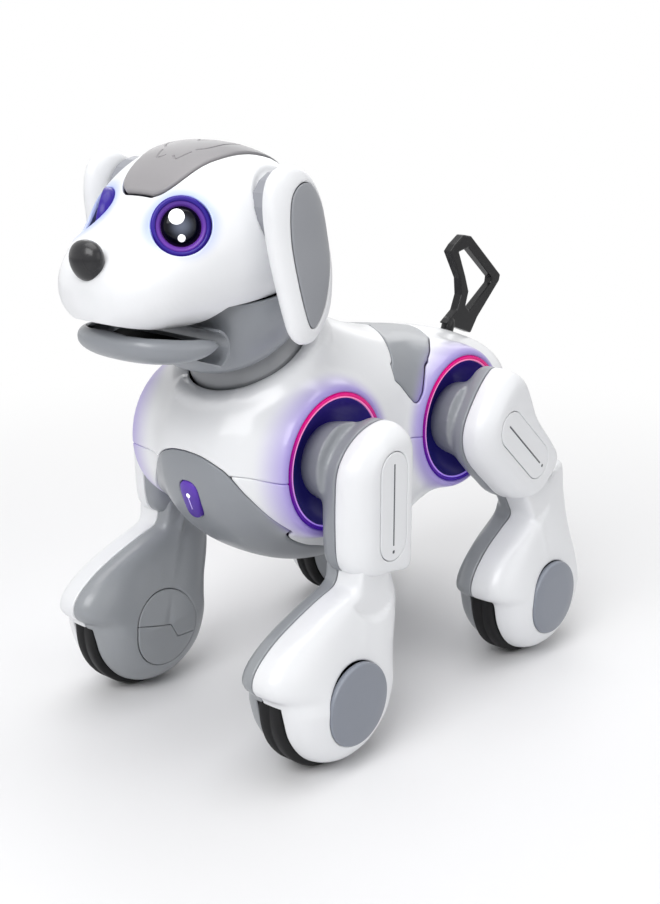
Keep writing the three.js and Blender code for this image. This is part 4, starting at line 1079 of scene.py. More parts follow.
def make_button():
    outline = shield_loop(-gap)
    rings = [[(x * shrink, y * shrink, height * button_half_width) for x, y in outline]
             for shrink, height in button_crown_shares]
    points, faces = loft(rings)
    piece("button_cap", placed(points, button_frame), faces, button_purple, "button", ["chest_button"],
          "button_light")
    spot = Matrix.Translation((0, button_half_height * 0.28, button_half_width * 0.15))
    dot = lathe_line(button_dot_shares, button_dot_radius)
    piece("button_dot", *disc_on(button_frame @ spot, dot, 40), spark, "button", slot="button_light")
    low, high = (share * button_half_height for share in button_line_shares)
    half = button_line_half
    points, faces = loft([[(-half, high, z), (half, high, z), (half, low, z), (-half, low, z)]
                          for z in (button_half_width * 0.05, button_half_width * 0.225)])
    leaning = button_frame @ Matrix.Rotation(math.radians(8), 4, "Z")
    piece("button_line", placed(points, leaning), faces, button_mark, "button", slot="button_light")


# Hip lights

band_inner_shares = [(-1, 0.055), (-0.15, 0.055), (0, 0.15), (0.075, 0.5)]
band_outer_shares = [(0.025, -0.1), (-0.15, 0), (-1, 0)]
line_shares = [(-0.5, -0.1), (-0.025, -0.1), (0.05, 0), (-0.025, 0.075), (-0.5, 0.075)]
cup_face_shares = [(-0.15, 0), (-0.3, -0.1), (-1, -0.55), (-1.875, -1.45), (-2.625, -2.75), (-3, -4)]
cup_back_shares = [(-2, -0.5), (-1, 0)]


def by_ring(shares, radius):
    """Lathe outline from shares of the ring's width, off its face and a radius."""
    return [(ring_plane + height * ring_width, radius + away * ring_width) for height, away in shares]


def make_hips():
    cup_floor = ring_plane - cup_depth
    cup_back = cup_floor - wall
    cup_inside = [(cup_floor, cup_bore), (cup_back, cup_bore), (cup_back, cup_radius - cup_depth)]
    profiles = {
        "ring_light_": by_ring(band_inner_shares, ring_inner) + by_ring(band_outer_shares, ring_radius),
        "ring_line_": by_ring(line_shares, ring_inner),
        "cup_": by_ring(cup_face_shares, cup_radius) + cup_inside + by_ring(cup_back_shares, cup_radius),
    }
    looks = {"ring_light_": (ring_light, ["hip_light_ring_"], "light_ring"),
             "ring_line_": (ring_line, [], "light_ring"), "cup_": (cup_blue, ["hip_cup_"], "hip_cup")}
    for name, (side, y) in hips.items():
        for label, profile in profiles.items():
            material, nodes, slot = looks[label]
            piece(label + name, *ring_body(profile, (0, y, hip_height), (side, 0, 0)), material, "torso",
                  [cad_node + name for cad_node in nodes], slot)


# Tail

tail_shares = [
    (-0.09, 0.04), (0.11, 0.16), (0.18, 0.32), (0.16, 0.50), (-0.04, 0.82), (0.04, 0.89),
    (0.20, 0.98), (0.34, 0.95), (0.93, 0.45), (0.91, 0.38), (0.50, 0.02), (0.38, -0.14)]
tail_hole_shares = [
    (0.12, 0.80), (0.29, 0.83), (0.76, 0.44), (0.75, 0.38), (0.34, 0.12), (0.27, 0.19), (0.32, 0.34),
    (0.25, 0.52)]
stem_shares = [(-2.5, 0.0), (-2.5, 1.0), (1.0, 1.0), (1.75, 0.8), (1.75, 0.0)]


def make_tail():
    loop, hole = ([(tail_y + y * tail_height, tail_z + z * tail_height) for y, z in shares]
                  for shares in (tail_shares, tail_hole_shares))
    thing = cut_out(prism(loop, tail_thickness / 2), prism(hole, tail_thickness))
    bevel = thing.modifiers.new("edge", "BEVEL")
    bevel.width = rim
    bevel.segments = 3
    bevel.limit_method = "ANGLE"
    flat_piece(thing, "tail_loop", black, "tail", ["tail"], "charcoal_gloss")
    stem = lathe_line(stem_shares, pin_radius)
    place, axis = (0, tail_y, tail_z - pin_radius / 2), (0, math.sin(tail_lean), math.cos(tail_lean))
    piece("tail_stem", *turned(stem, place, axis, 48), black, "tail", slot="charcoal_gloss")


# Neck

neck_shares = [
    (-0.275, 0.0), (-0.275, 0.7925), (-0.04, 0.7925), (-0.01, 0.7825), (0.01, 0.7725), (0.05, 0.7525),
    (0.1, 0.7125), (0.1625, 0.65), (0.2125, 0.6), (0.3, 0.575), (0.3, 0.0)]
collar_lining_shares = [
    (-0.45, 0.0), (-0.45, 0.8525), (-0.075, 0.8525), (-0.075, 0.8325), (-0.4125, 0.8325), (-0.4125, 0.0)]


def make_neck():
    skin = turned(lathe_line(neck_shares, collar_radius), neck_place, neck_axis, 128)
    piece("neck_skin", *skin, pale, "neck", ["neck_ring"], "pale_grey_shell")
    # Near-black sheet in the gap between neck and collar: painted shade
    lining = turned(lathe_line(collar_lining_shares, collar_radius), neck_place, neck_axis, 96)
    piece("collar_painted_shade", *lining, painted_shade_black, "torso", slot="inner_dark")


# Head

head_shares = [
    (0.000, 0.155, 0.290, 0.160, 2.0), (0.020, 0.085, 0.380, 0.380, 2.1), (0.070, 0.045, 0.470, 0.560, 2.2),
    (0.140, 0.020, 0.560, 0.690, 2.3), (0.230, 0.010, 0.700, 0.785, 2.3), (0.335, 0.000, 0.860, 0.875, 2.3),
    (0.450, 0.000, 0.960, 0.955, 2.3), (0.570, 0.000, 1.000, 1.000, 2.3), (0.690, 0.020, 0.965, 1.000, 2.3),
    (0.800, 0.070, 0.860, 0.910, 2.2), (0.895, 0.155, 0.700, 0.745, 2.1), (0.965, 0.250, 0.530, 0.500, 2.0),
    (1.000, 0.330, 0.420, 0.220, 2.0)]
mouth_shares = [
    (-0.080, 0.145), (0.050, 0.082), (0.180, 0.048), (0.280, 0.040), (0.338, 0.062), (0.372, 0.120),
    (0.388, 0.146), (0.410, 0.150), (0.500, 0.166), (0.612, 0.205), (0.850, 0.310), (1.100, 0.400)]
crown_shares = [
    (0.30, 0.000), (0.48, 0.030), (0.64, 0.100), (0.77, 0.240), (0.87, 0.340), (0.95, 0.460),
    (1.00, 0.600), (0.90, 0.760), (0.55, 0.910), (0.00, 1.000)]
crown_line_shares = [
    [(0.36, 0.30), (0.52, 0.36), (0.56, 0.50), (0.48, 0.66), (0.20, 0.90)],
    [(0.10, 0.22), (0.22, 0.20), (0.33, 0.27)],
    [(0.13, 0.50), (0.27, 0.58), (0.28, 0.72), (0.10, 0.92)],
    [(0.00, 0.42), (0.09, 0.46)]]
mouth_curve = smooth_line([(head_front + y * head_length, head_floor + z * head_height)
                           for y, z in mouth_shares])
over_mouth = inside(np.vstack([mouth_curve, [[mouth_curve[-1][0], far], [mouth_curve[0][0], far]]]), [1, 2])


def in_crown(shares, side=1):
    """Line seen from above, from shares of the crown's half width and length."""
    return [(side * x * crown_half_width, crown_front + y * crown_length) for x, y in shares]


def crown_grooves(points):
    best = np.full(len(points), far)
    for shares in crown_line_shares:
        for side in (1, -1):
            curve = smooth_line(in_crown(shares, side), 6)
            best = np.minimum(best, line_distance(curve, [0, 1])(points))
    return np.where(points[:, 2] > eye_place[2], best, far)


def eye_matrix(side):
    normal = Vector((side * math.sin(eye_turn) * math.cos(eye_lift), -math.cos(eye_turn) * math.cos(eye_lift),
                     math.sin(eye_lift)))
    place = Vector((side * eye_place[0], eye_place[1], eye_place[2]))
    return Matrix.Translation(place) @ normal.to_track_quat("Z", "Y").to_matrix().to_4x4()


def eye_hole(points):
    best = np.full(len(points), far)
    for side in (1, -1):
        matrix = eye_matrix(side)
        radius, height = axis_radius(points, tuple(matrix.translation), tuple(matrix.col[2][:3]))
        best = np.minimum(best, np.maximum(radius - eye_radius - gap, -height - eye_radius))
    return best


def ear_hollow(points):
    """Depth of the shallow hollow that the ear lies in."""
    radius = np.hypot(points[:, 1] - ear_arc_y, points[:, 2] - ear_arc_z)
    inward = np.where(np.abs(points[:, 0]) > ear_arc_x, ear_arc_radius - radius, -far)
    return step(inward, *ear_arc_soft) * ear_recess


def mouth_height(y):
    return np.interp(y, mouth_curve[:, 0], mouth_curve[:, 1])


def width_at(row, height):
    """Half width of a rib at a height."""
    _, low, _, high, half, square = row
    rise = min(abs(2 * height - low - high) / (high - low), 0.98)
    return half * (1 - rise ** square) ** (1 / square)


def palate_rows(rows):
    """Ribs of the mouth's roof, just over the mouth's edge."""
    found = []
    for row in rows:
        y = row[0]
        low, high = mouth_height(y) + palate_rise, mouth_height(y) + palate_top
        if head_front + palate_front < y < head_front + 0.7 * head_length:
            found.append((y, low, y, high, width_at(row, low) - wall, row[5]))
    return found


def make_head():
    rows = upright_rows(head_shares, head_front, head_length, head_floor, head_height, head_half_width)
    skin = melted([loft(rib_rings(rows))], head_voxel, 3)
    skin.points = skin.points - skin.normals * ear_hollow(skin.points)[:, None]
    crown = inside(both_halves(smooth_line(in_crown(crown_shares))), [0, 1])
    on_crown = lambda p: np.minimum(crown(p), p[:, 2] - eye_place[2])
    shell_field = all_of(within(over_mouth), eye_hole, away_from(on_crown, gap))
    # The head shell has the eyes' light painted on
    piece("head_skin", *skin.part(shell_field, fine_rim), white_with_painted_eye_light, "head", ["head_shell"], "white_shell")
    cap = skin.copy().engraved(crown_grooves, groove_width, groove_depth)
    cap.points = cap.points + cap.normals * crown_rise
    piece("crown_skin", *cap.part(within(on_crown), crown_rim), crown_grey, "head", ["crown_cap"],
          "pale_grey_shell")
    # Near-black roof inside the mouth: painted shade
    piece("mouth_roof", *loft(rib_rings(palate_rows(rows), 40, 60)), painted_shade_black, "head", slot="inner_dark")


def make_nose():
    rings = []
    for k in range(25):
        turn = math.pi * k / 24
        height, reach = math.cos(turn), max(math.sin(turn), gap) ** 0.92
        ring = []
        for i in range(64):
            angle = 2 * math.pi * i / 64
            x = nose_half[0] * reach * math.cos(angle) * (1 + 0.10 * height)
            y = nose_half[1] * reach * math.sin(angle) * (1 + 0.06 * height)
            ring.append((nose_place[0] + x, nose_place[1] + y, nose_place[2] + nose_half[2] * height))
        rings.append(ring)
    piece("nose_egg", *loft(rings), charcoal, "head", ["nose"], "charcoal_gloss")


# Jaw and the base of the head

head_base_shares = [
    (-0.060, 0.040, 0.60, 0.60, 1.00), (-0.100, 0.100, 0.73, 0.73, 0.97), (-0.150, 0.200, 0.80, 0.83, 0.86),
    (-0.180, 0.320, 0.84, 0.92, 0.69), (-0.180, 0.480, 0.83, 0.96, 0.34), (-0.180, 0.660, 0.80, 0.96, 0.20)]
jaw_shares = [
    (0.000, 0.55, 0.72, 0.22, 2.0), (0.040, 0.38, 0.86, 0.42, 2.2), (0.140, 0.20, 0.97, 0.65, 2.4),
    (0.340, 0.07, 1.00, 0.84, 2.6), (0.580, 0.00, 0.98, 0.95, 2.6), (0.800, 0.03, 0.95, 1.00, 2.5),
    (0.930, 0.16, 0.86, 1.00, 2.3), (1.000, 0.34, 0.70, 0.99, 2.0)]
jaw_rows = upright_rows(jaw_shares, jaw_front, jaw_length, jaw_floor, jaw_height, jaw_half_width)


def base_rows():
    """Tilted ribs from the neck up to the mouth."""
    rows = []
    for y, z, length, width, tilt in head_base_shares:
        middle_y = neck_y + y * head_half_width
        middle_z = neck_z + base_rise + z * head_height
        half = length * head_half_width
        run, rise = half * math.cos(tilt * neck_tilt), half * math.sin(tilt * neck_tilt)
        rows.append((middle_y - run, middle_z - rise, middle_y + run, middle_z + rise,
                     width * head_half_width, 2.3))
    return rows


def jaw_swing():
    """Farthest that the jaw's rear end reaches from its hinge, with some play."""
    behind = [row for row in jaw_rows if row[0] > jaw_hinge[0] - jaw_length * 0.1]
    return max(math.hypot(row[0] - jaw_hinge[0], z - jaw_hinge[1]) for row in behind
               for z in (row[1], row[3])) + jaw_play


def clear_of_jaw(points):
    room = jaw_swing() + jaw_room
    y, z = points[:, 1] - jaw_hinge[0], points[:, 2] - jaw_hinge[1]
    return np.minimum(np.hypot(y, z) - room, np.maximum(y, z - room))


def make_jaw_seat():
    """Curved wall behind the jaw's hinge."""
    turns = np.radians(range(-66, 78, 6))
    loop = []
    for reach, order in ((jaw_swing(), turns), (jaw_swing() + jaw_seat_wall, turns[::-1])):
        loop += [(jaw_hinge[0] + reach * math.cos(turn), jaw_hinge[1] + reach * math.sin(turn))
                 for turn in order]
    thing = raw(*prism(loop, jaw_half_width - jaw_seat_inset))
    flat_piece(thing, "jaw_seat", grey, "head", [], "grey_shell")


def make_head_base():
    rows = base_rows()
    skin = melted([loft(rib_rings(rows, 60, 120))], torso_voxel, 6)
    make_jaw_seat()
    above_neck = lambda p: axis_radius(p, neck_place, neck_axis)[1] - neck_clearance
    base = all_of(away_from(over_mouth, gap), clear_of_jaw, above_neck)
    piece("head_base_skin", *skin.part(base), grey, "head", ["head_base"], "grey_shell")
    # Near-black inner wall at the back of the mouth, round the jaw's rear end: painted shade
    inset = lining_inset
    lining = [(a + inset, b + inset, c - inset, d + inset / 2, half - inset, square)
              for a, b, c, d, half, square in rows]
    inner = melted([loft(rib_rings(lining, 40, 80))], lining_voxel, 2)
    under_roof = lambda p: mouth_height(p[:, 1]) + mouth_back_rise - p[:, 2]
    back = all_of(under_roof, clear_of_jaw, above_neck)
    piece("mouth_back", *inner.part(back, mouth_back_rim, thin_wall), painted_shade_black, "head", slot="inner_dark")


def make_jaw():
    skin = melted([loft(rib_rings(jaw_rows, 60, 120))], small_voxel, 3)
    edge = smooth_line([(row[4] - jaw_lip, row[0]) for row in jaw_rows[1:]])
    edge = np.vstack([edge, [[edge[-1][0], far]]]) + [0, jaw_lip_shift]
    mouth = inside(both_halves(edge), [0, 1])
    opening = lambda p: np.minimum(mouth(p), p[:, 2] - jaw_floor - jaw_height * 0.62)
    piece("jaw_skin", *skin.part(away_from(opening, gap)), grey, "jaw", ["jaw"], "grey_shell")
    # Near-black floor inside the jaw's opening: painted shade
    floor = []
    for y, low, _, _, half, square in jaw_rows[1:-1]:
        behind, width = y + jaw_lining_shift, half - jaw_lining_inset
        floor.append((behind, low + jaw_lining_inset, behind, low + jaw_lining_top, width, square))
    piece("jaw_painted_shade", *loft(rib_rings(floor, 40, 60)), painted_shade_black, "jaw", slot="inner_dark")


# Eyes

eye_outer_shares = [
    (-0.4286, 0.84), (0.0286, 0.84), (0.0643, 0.8757), (0.0643, 0.9429), (0.0214, 1.0), (-0.4286, 1.0)]
eye_inner_shares = [
    (-0.4286, 0.675), (-0.1143, 0.675), (-0.0214, 0.7971), (-0.0429, 0.8321), (-0.4286, 0.8321)]
in_head = ("head", "head")


def make_eye_spot(label, x, y, radius):
    """Bright dot lying on the domed lens."""
    rise = lens_bulge * math.sqrt(1 - (math.hypot(x, y) / lens_radius) ** 2) - lens_sink + spot_rise
    profile = [(-spot_depth, 0.0), (-spot_depth, radius), (0.0, radius), (spot_depth * 0.15, radius * 0.8),
               (spot_depth * 0.25, 0.0)]

    def spot(side):
        lean = Matrix.Rotation(side * x / lens_radius * 0.55, 4, "Y")
        nod = Matrix.Rotation(-y / lens_radius * 0.45, 4, "X")
        place = Matrix.Translation((side * x, y, rise))
        return disc_on(eye_matrix(side) @ place @ lean @ nod, profile, 48)
    pair(label, spot, spark, in_head, [], "eye_gloss")


def make_eyes():
    for label, shares, material, nodes in (("eye_outer_", eye_outer_shares, eye_outer, ["eye_bezel_"]),
                                           ("eye_inner_", eye_inner_shares, eye_inner, [])):
        profile = lathe_line(shares, eye_radius)
        pair(label, lambda side: ring_on(eye_matrix(side), profile), material, in_head, nodes, "eye_ring")
    radius = lens_radius - gap
    dome = [(-lens_depth, 0.0), (-lens_depth, radius)]
    for k in range(15):
        turn = math.pi / 2 * k / 14
        dome.append((lens_bulge * math.sin(turn) - lens_sink, radius * math.cos(turn)))
    pair("eye_glass_", lambda side: disc_on(eye_matrix(side), dome), lens_black, in_head, ["eye_lens_"],
         "eye_gloss")
    make_eye_spot("eye_spark_", *eye_spark)
    make_eye_spot("eye_glint_", *eye_glint)


# Ears

ear_shares = [
    (0.000, 0.05, 0.30, 0.10, 0.12), (0.015, 0.05, 0.30, 0.28, 0.42), (0.070, 0.07, 0.28, 0.52, 0.66),
    (0.190, 0.13, 0.22, 0.78, 0.88), (0.390, 0.13, 0.12, 0.96, 1.00), (0.580, 0.08, 0.04, 1.00, 1.00),
    (0.770, 0.02, 0.00, 0.96, 0.96), (0.900, -0.03, -0.02, 0.76, 0.84), (0.970, -0.05, -0.04, 0.46, 0.58),
    (1.000, -0.05, -0.05, 0.10, 0.14)]
inlay_shares = [
    (0.26, 0.10), (0.66, 0.22), (0.98, 0.42), (1.05, 0.60), (0.86, 0.78), (0.45, 0.89), (0.02, 0.90),
    (-0.33, 0.82), (-0.40, 0.62), (-0.25, 0.36), (0.00, 0.14)]


def ear_ring(t, sides=72):
    z, y, x, depth, thickness = between(ear_shares, t)
    turn = 2 * np.pi * np.arange(sides) / sides
    return np.stack([
        ear_x + x * ear_half_depth + thickness * ear_half_thickness * power(np.cos(turn), 2 / 2.4),
        ear_y + y * 2 * ear_half_depth + depth * ear_half_depth * power(np.sin(turn), 2 / 2.2),
        np.full(sides, ear_tip_z + z * ear_length)], axis=1)


def make_ears():
    skin = melted([loft([ear_ring(k / 60) for k in range(61)])], small_voxel, 3)
    loop = smooth_loop([(ear_y + y * ear_half_depth, ear_tip_z + z * ear_length) for y, z in inlay_shares])
    flat = inside(loop, [1, 2])
    on_inlay = lambda p: np.minimum(flat(p), p[:, 0] - ear_x - wall / 2)
    bodies = ("ear_left", "ear_right")
    pair("ear_skin_", on_both(skin.part(away_from(on_inlay, gap))), white, bodies, ["ear_shell_"],
         "white_shell")
    pair("ear_panel_", on_both(skin.part(within(on_inlay), fine_rim)), ear_grey, bodies, ["ear_inlay_"],
         "grey_shell")


# Thighs

front_thigh_shares = [
    (1.012, 0.320), (0.980, 0.640), (0.840, 0.820), (0.600, 0.872), (0.200, 0.816), (-0.200, 0.648),
    (-0.520, 0.380), (-0.712, 0.032), (-0.760, -0.480), (-0.760, -1.200), (-0.720, -1.760), (-0.580, -2.040),
    (-0.280, -2.180), (0.160, -2.224), (0.560, -2.280), (0.848, -2.328), (0.992, -2.220), (1.012, -1.800),
    (1.012, -0.800)]
rear_thigh_shares = [
    (1.072, -0.240), (1.160, 0.200), (1.160, 0.520), (1.000, 0.740), (0.640, 0.800), (0.160, 0.760),
    (-0.400, 0.620), (-0.760, 0.360), (-0.940, -0.080), (-0.928, -0.640), (-0.860, -1.200), (-0.780, -1.760),
    (-0.560, -2.220), (-0.200, -2.472), (0.320, -2.560), (0.720, -2.540), (0.928, -2.360), (0.960, -1.800),
    (0.944, -0.880)]
funnel_wall_shares = [(-1.875, 0.98), (-1.0, 1.025), (0.0, 1.06)]


def edge_inset(radius, distance):
    past = min(max(radius - distance, 0), radius)
    return radius - math.sqrt(radius * radius - past * past)


def leg_plan(front):
    hip_y, swing, drop = (hip_rear_y, rear_swing, knee_drop_rear)
    if front:
        hip_y, swing, drop = (hip_front_y, 0.0, knee_drop_front)
    return {
        "front": front, "hip_y": hip_y, "swing": swing,
        "knee": (hip_y + drop * math.sin(swing), hip_height - drop * math.cos(swing)),
        "wheel_y": hip_y + (-wheel_ahead if front else wheel_behind),
    }


def both_bodies(kind, letter):
    return ("%s_%sl" % (kind, letter), "%s_%sr" % (kind, letter))


def on_thigh(plan, along, up):
    """Place in the side view from a distance along and up the thigh's own frame."""
    turn = plan["swing"]
    return (plan["hip_y"] + along * math.cos(turn) - up * math.sin(turn),
            hip_height + along * math.sin(turn) + up * math.cos(turn))


def thigh_ring(plan, x):
    """The thigh's outline at a distance from the middle, drawn in by its rounded edges."""
    def drawn(radius):
        return edge_inset(radius, thigh_face_x - x) + edge_inset(thigh_rounding / 2, x - thigh_inner_x)
    shares = front_thigh_shares if plan["front"] else rear_thigh_shares
    outline = smooth_loop(np.array(shares) * thigh_reach, 6)
    low, high = outline.min(axis=0), outline.max(axis=0)
    middle, half = (low + high) / 2, (high - low) / 2
    share = (outline - middle) / half
    across = np.where(share[:, 0] < 0, drawn(thigh_rounding), drawn(thigh_rounding / 4))
    upward = np.where(share[:, 1] > 0, drawn(thigh_rounding * 0.8), drawn(thigh_rounding / 3))
    along, up = (middle + share * (half - np.stack([across, upward], axis=1))).T
    y, z = on_thigh(plan, along, up)
    return np.stack([np.full(len(outline), x), y, z], axis=1)


def knee_distance(plan):
    return lambda p: np.hypot(p[:, 1] - plan["knee"][0], p[:, 2] - plan["knee"][1])


def thigh_room(plan):
    """Field: positive where the shin's neck moves inside the thigh."""
    reach = knee_radius * 4
    loop = [plan["knee"]]
    for i in range(-8, 9):
        spread = 0.27 if i < 0 or plan["front"] else 0.44
        turn = -math.pi / 2 + plan["swing"] + i / 8 * math.pi * spread
        loop.append((plan["knee"][0] + reach * math.cos(turn), plan["knee"][1] + reach * math.sin(turn)))
    wedge = inside(loop, [1, 2])
    return all_of(wedge, lambda p: p[:, 0] - thigh_room_x[0], lambda p: thigh_room_x[1] - p[:, 0])


def on_pill(plan, across, up):
    """Place in the side view from a place in the pill's own frame."""
    (along, middle), turn = (pill_front_place, 0.0) if plan["front"] else (pill_rear_place, pill_rear_turn)
    return on_thigh(plan, along + across * math.cos(turn) - up * math.sin(turn),
                    middle + across * math.sin(turn) + up * math.cos(turn))


def pill_field(plan):
    ends = [on_pill(plan, 0, side * (pill_half_length - pill_half_width)) for side in (-1, 1)]
    middle = line_distance(ends, [1, 2])
    return lambda p: np.where(p[:, 0] > thigh_face_x - pill_depth, pill_half_width - middle(p), -far)


def face_strip(plan, low, high, half):
    """Thin rounded strip lying in the thigh's outer face."""
    outline = []
    for end, start in ((high, 0), (low, math.pi)):
        for k in range(13):
            turn = start + math.pi * k / 12
            outline.append((half * math.cos(turn), end + half * math.sin(turn)))
    rings = []
    for rise, shrink in ((-slot_depth, 0), (-slot_sink, 0), (slot_rise, half * 0.2)):
        ring = []
        for across, up in outline:
            side = math.copysign(min(abs(across), half - shrink), across)
            level = min(max(up, low - half + shrink), high + half - shrink)
            ring.append((thigh_face_x + rise, *on_pill(plan, side, level)))
        rings.append(ring)
    return loft(rings)


def thigh_skin(plan):
    """The thigh with the round funnel that leads into the hip."""
    places = [thigh_inner_x + thigh_rounding / 2 * (1 - math.cos(math.pi / 2 * k / 8)) for k in range(9)]
    places += [thigh_face_x - thigh_rounding * (1 - math.sin(math.pi / 2 * k / 16)) for k in range(17)]
    body = loft([thigh_ring(plan, x) for x in sorted(set(places))])
    low = ring_plane - funnel_depth
    funnel = [(low, 0.0), (low, funnel_radius * 0.9)]
    funnel += [(ring_plane + height * ring_width, radius * funnel_radius)
               for height, radius in funnel_wall_shares]
    funnel.append((thigh_inner_x + ring_width * 0.75, funnel_radius * 1.11))
    funnel.append((thigh_inner_x + ring_width * 2, 0.0))
    return melted([body, turned(funnel, (0, plan["hip_y"], hip_height), (1, 0, 0))], thigh_voxel, 3,
                  lambda p: 1 - step(np.abs(p[:, 0] - thigh_inner_x), *thigh_soft), 12)


def make_thigh(plan, letter):
    skin, pill, bodies = thigh_skin(plan), pill_field(plan), both_bodies("thigh", letter)
    clear = away_from(thigh_room(plan))
    inner = all_of(lambda p: thigh_split_x - gap - p[:, 0], clear)
    cover = all_of(lambda p: p[:, 0] - thigh_split_x - gap, clear, away_from(pill, fine_gap))
    pair("thigh_half_" + letter, on_both(skin.part(inner)), grey, bodies, ["thigh_inner_" + letter],
         "grey_shell")
    pair("thigh_face_" + letter, on_both(skin.part(cover)), white, bodies, ["thigh_cover_" + letter],
         "white_shell")
    pair("thigh_pill_" + letter, on_both(skin.part(within(pill, fine_gap), thin_rim)), white, bodies,
         slot="white_shell")
    marks = {"slot": (*slot_reach, slot_half_width), "dot": (dot_drop, dot_drop, dot_radius)}
    for label, (low, high, half) in marks.items():
        pair("thigh_%s_%s" % (label, letter), on_both(face_strip(plan, low, high, half)), slot_grey, bodies,
             slot="grey_shell")


# Feet

foot_under_shares = [(0.00, -1.00), (-0.38, -0.93), (-0.71, -0.71), (-0.95, -0.37), (-1.06, 0.00)]
front_foot_shares = [
    (-1.12, 0.20), (-1.24, 0.30), (-1.30, 0.42), (-1.26, 0.58), (-1.10, 0.75), (-0.82, 0.93), (-0.50, 1.07),
    (-0.18, 1.19), (0.10, 1.28), (0.55, 1.40), (0.95, 1.66), (1.18, 1.42), (1.30, 1.10), (1.26, 0.82),
    (1.13, 0.46), (1.06, 0.15), (1.01, -0.22), (0.82, -0.63), (0.42, -0.92)]
rear_foot_shares = [
    (-1.13, 0.08), (-1.22, 0.14), (-1.26, 0.28), (-1.20, 0.46), (-1.04, 0.66), (-0.80, 0.86), (-0.52, 1.03),
    (-0.28, 1.16), (-0.06, 1.28), (0.26, 1.56), (0.52, 1.84), (0.74, 1.93), (0.86, 1.80), (0.90, 1.45),
    (0.91, 1.05), (0.97, 0.72), (1.05, 0.40), (1.08, 0.05), (1.01, -0.30), (0.82, -0.64), (0.42, -0.92)]
zigzag_shares = [(-1.10, 0.36), (0.08, 0.08), (0.30, -0.32), (1.10, -0.40)]
tyre_half_shares = [
    (-1.0, 0.4), (-0.9467, 0.16), (-0.8267, 0.04), (-0.6533, 0.0), (-0.16, 0.0), (-0.0933, 0.08)]


def shin_loft(plan, steps=22):
    """The foot's body: its outline shrinks towards both faces, and it gets narrower up to the knee."""
    shares = foot_under_shares + (front_foot_shares if plan["front"] else rear_foot_shares)
    low, knee = np.array([plan["wheel_y"], wheel_radius]), np.array(plan["knee"])
    outline = smooth_loop(low + np.array(shares) * foot_reach, 6)
    climb = np.clip((outline[:, 1] - low[1]) / (knee[1] - low[1]), 0, 1)
    spine = low + (knee - low) * climb[:, None]
    taper = 1 - 0.5 * np.minimum(climb * 1.25, 1)
    widest = math.sin(math.pi / 2 * steps / (steps + 0.25))
    rings = []
    for k in range(-steps, steps + 1):
        turn = math.pi / 2 * k / (steps + 0.25)
        share = math.cos(turn) ** (2 / foot_square)
        reach = foot_half_width * power(math.sin(turn) / widest, 2 / foot_square)
        flat = spine + (outline - spine) * share
        rings.append(np.stack([foot_middle_x + reach * taper, flat[:, 0], flat[:, 1]], axis=1))
    return loft(rings)


def knee_block(plan):
    """Round bars from the knee down into the foot."""
    left, right = foot_middle_x - foot_half_width / 2.2, foot_flat_x
    profile = [(left, 0.0), (left, block_radius - block_rim), (left + block_rim, block_radius),
               (right - block_rim, block_radius), (right, block_radius - block_rim), (right, 0.0)]
    lean, drop = block_front_run if plan["front"] else block_rear_run
    return [turned(profile, (0, plan["knee"][0] + lean * k / 4, plan["knee"][1] - drop * k / 4), (1, 0, 0))
            for k in range(5)]


def shin_skin(plan):
    knee = knee_distance(plan)
    soft = lambda p: band(knee(p), block_soft) * 0.7
    skin = melted([shin_loft(plan)] + knee_block(plan), foot_voxel, 3, soft, 14)
    return skin.flattened(lambda p: flat_reach - knee(p), foot_flat_x)


def hub_distance(plan):
    return lambda p: np.hypot(p[:, 1] - plan["wheel_y"], p[:, 2] - wheel_radius + hub_cap_drop)


def wheel_slot(plan):
    """Field: positive where the wheel turns between the foot's halves."""
    def field(p):
        wheel = np.hypot(p[:, 1] - plan["wheel_y"], p[:, 2] - wheel_radius)
        side = np.abs(p[:, 0] - foot_middle_x)
        return np.minimum.reduce([wheel_radius + wheel_room - wheel, wheel_radius + wheel_slot_rise - p[:, 2],
                                  wheel_half_width + wheel_side_room - side])
    return field


def over_zigzag(plan):
    """Field: positive above the stepped line of the foot's inner side."""
    line = np.array([(plan["wheel_y"] + y * circle_radius, wheel_radius - hub_cap_drop + z * circle_radius)
                     for y, z in zigzag_shares])
    return inside(np.vstack([line, [[line[-1][0], far], [line[0][0], far]]]), [1, 2])


def make_hub_cap(plan, letter, bodies):
    face, depth, radius = foot_middle_x + foot_half_width, hub_cap_depth, hub_cap_radius
    profile = [(face - depth, 0.0), (face - depth, radius), (face - depth * 0.4, radius),
               (face - depth * 0.275, radius - depth * 0.075), (face - depth * 0.2, radius - depth * 0.25),
               (face - depth * 0.1, radius * 0.6), (face - depth * 0.075, 0.0)]
    place = (0, plan["wheel_y"], wheel_radius - hub_cap_drop)
    pair("hub_disc_" + letter, on_both(turned(profile, place, (1, 0, 0), 128)), cap_grey, bodies,
         ["hub_cap_" + letter], "grey_shell")


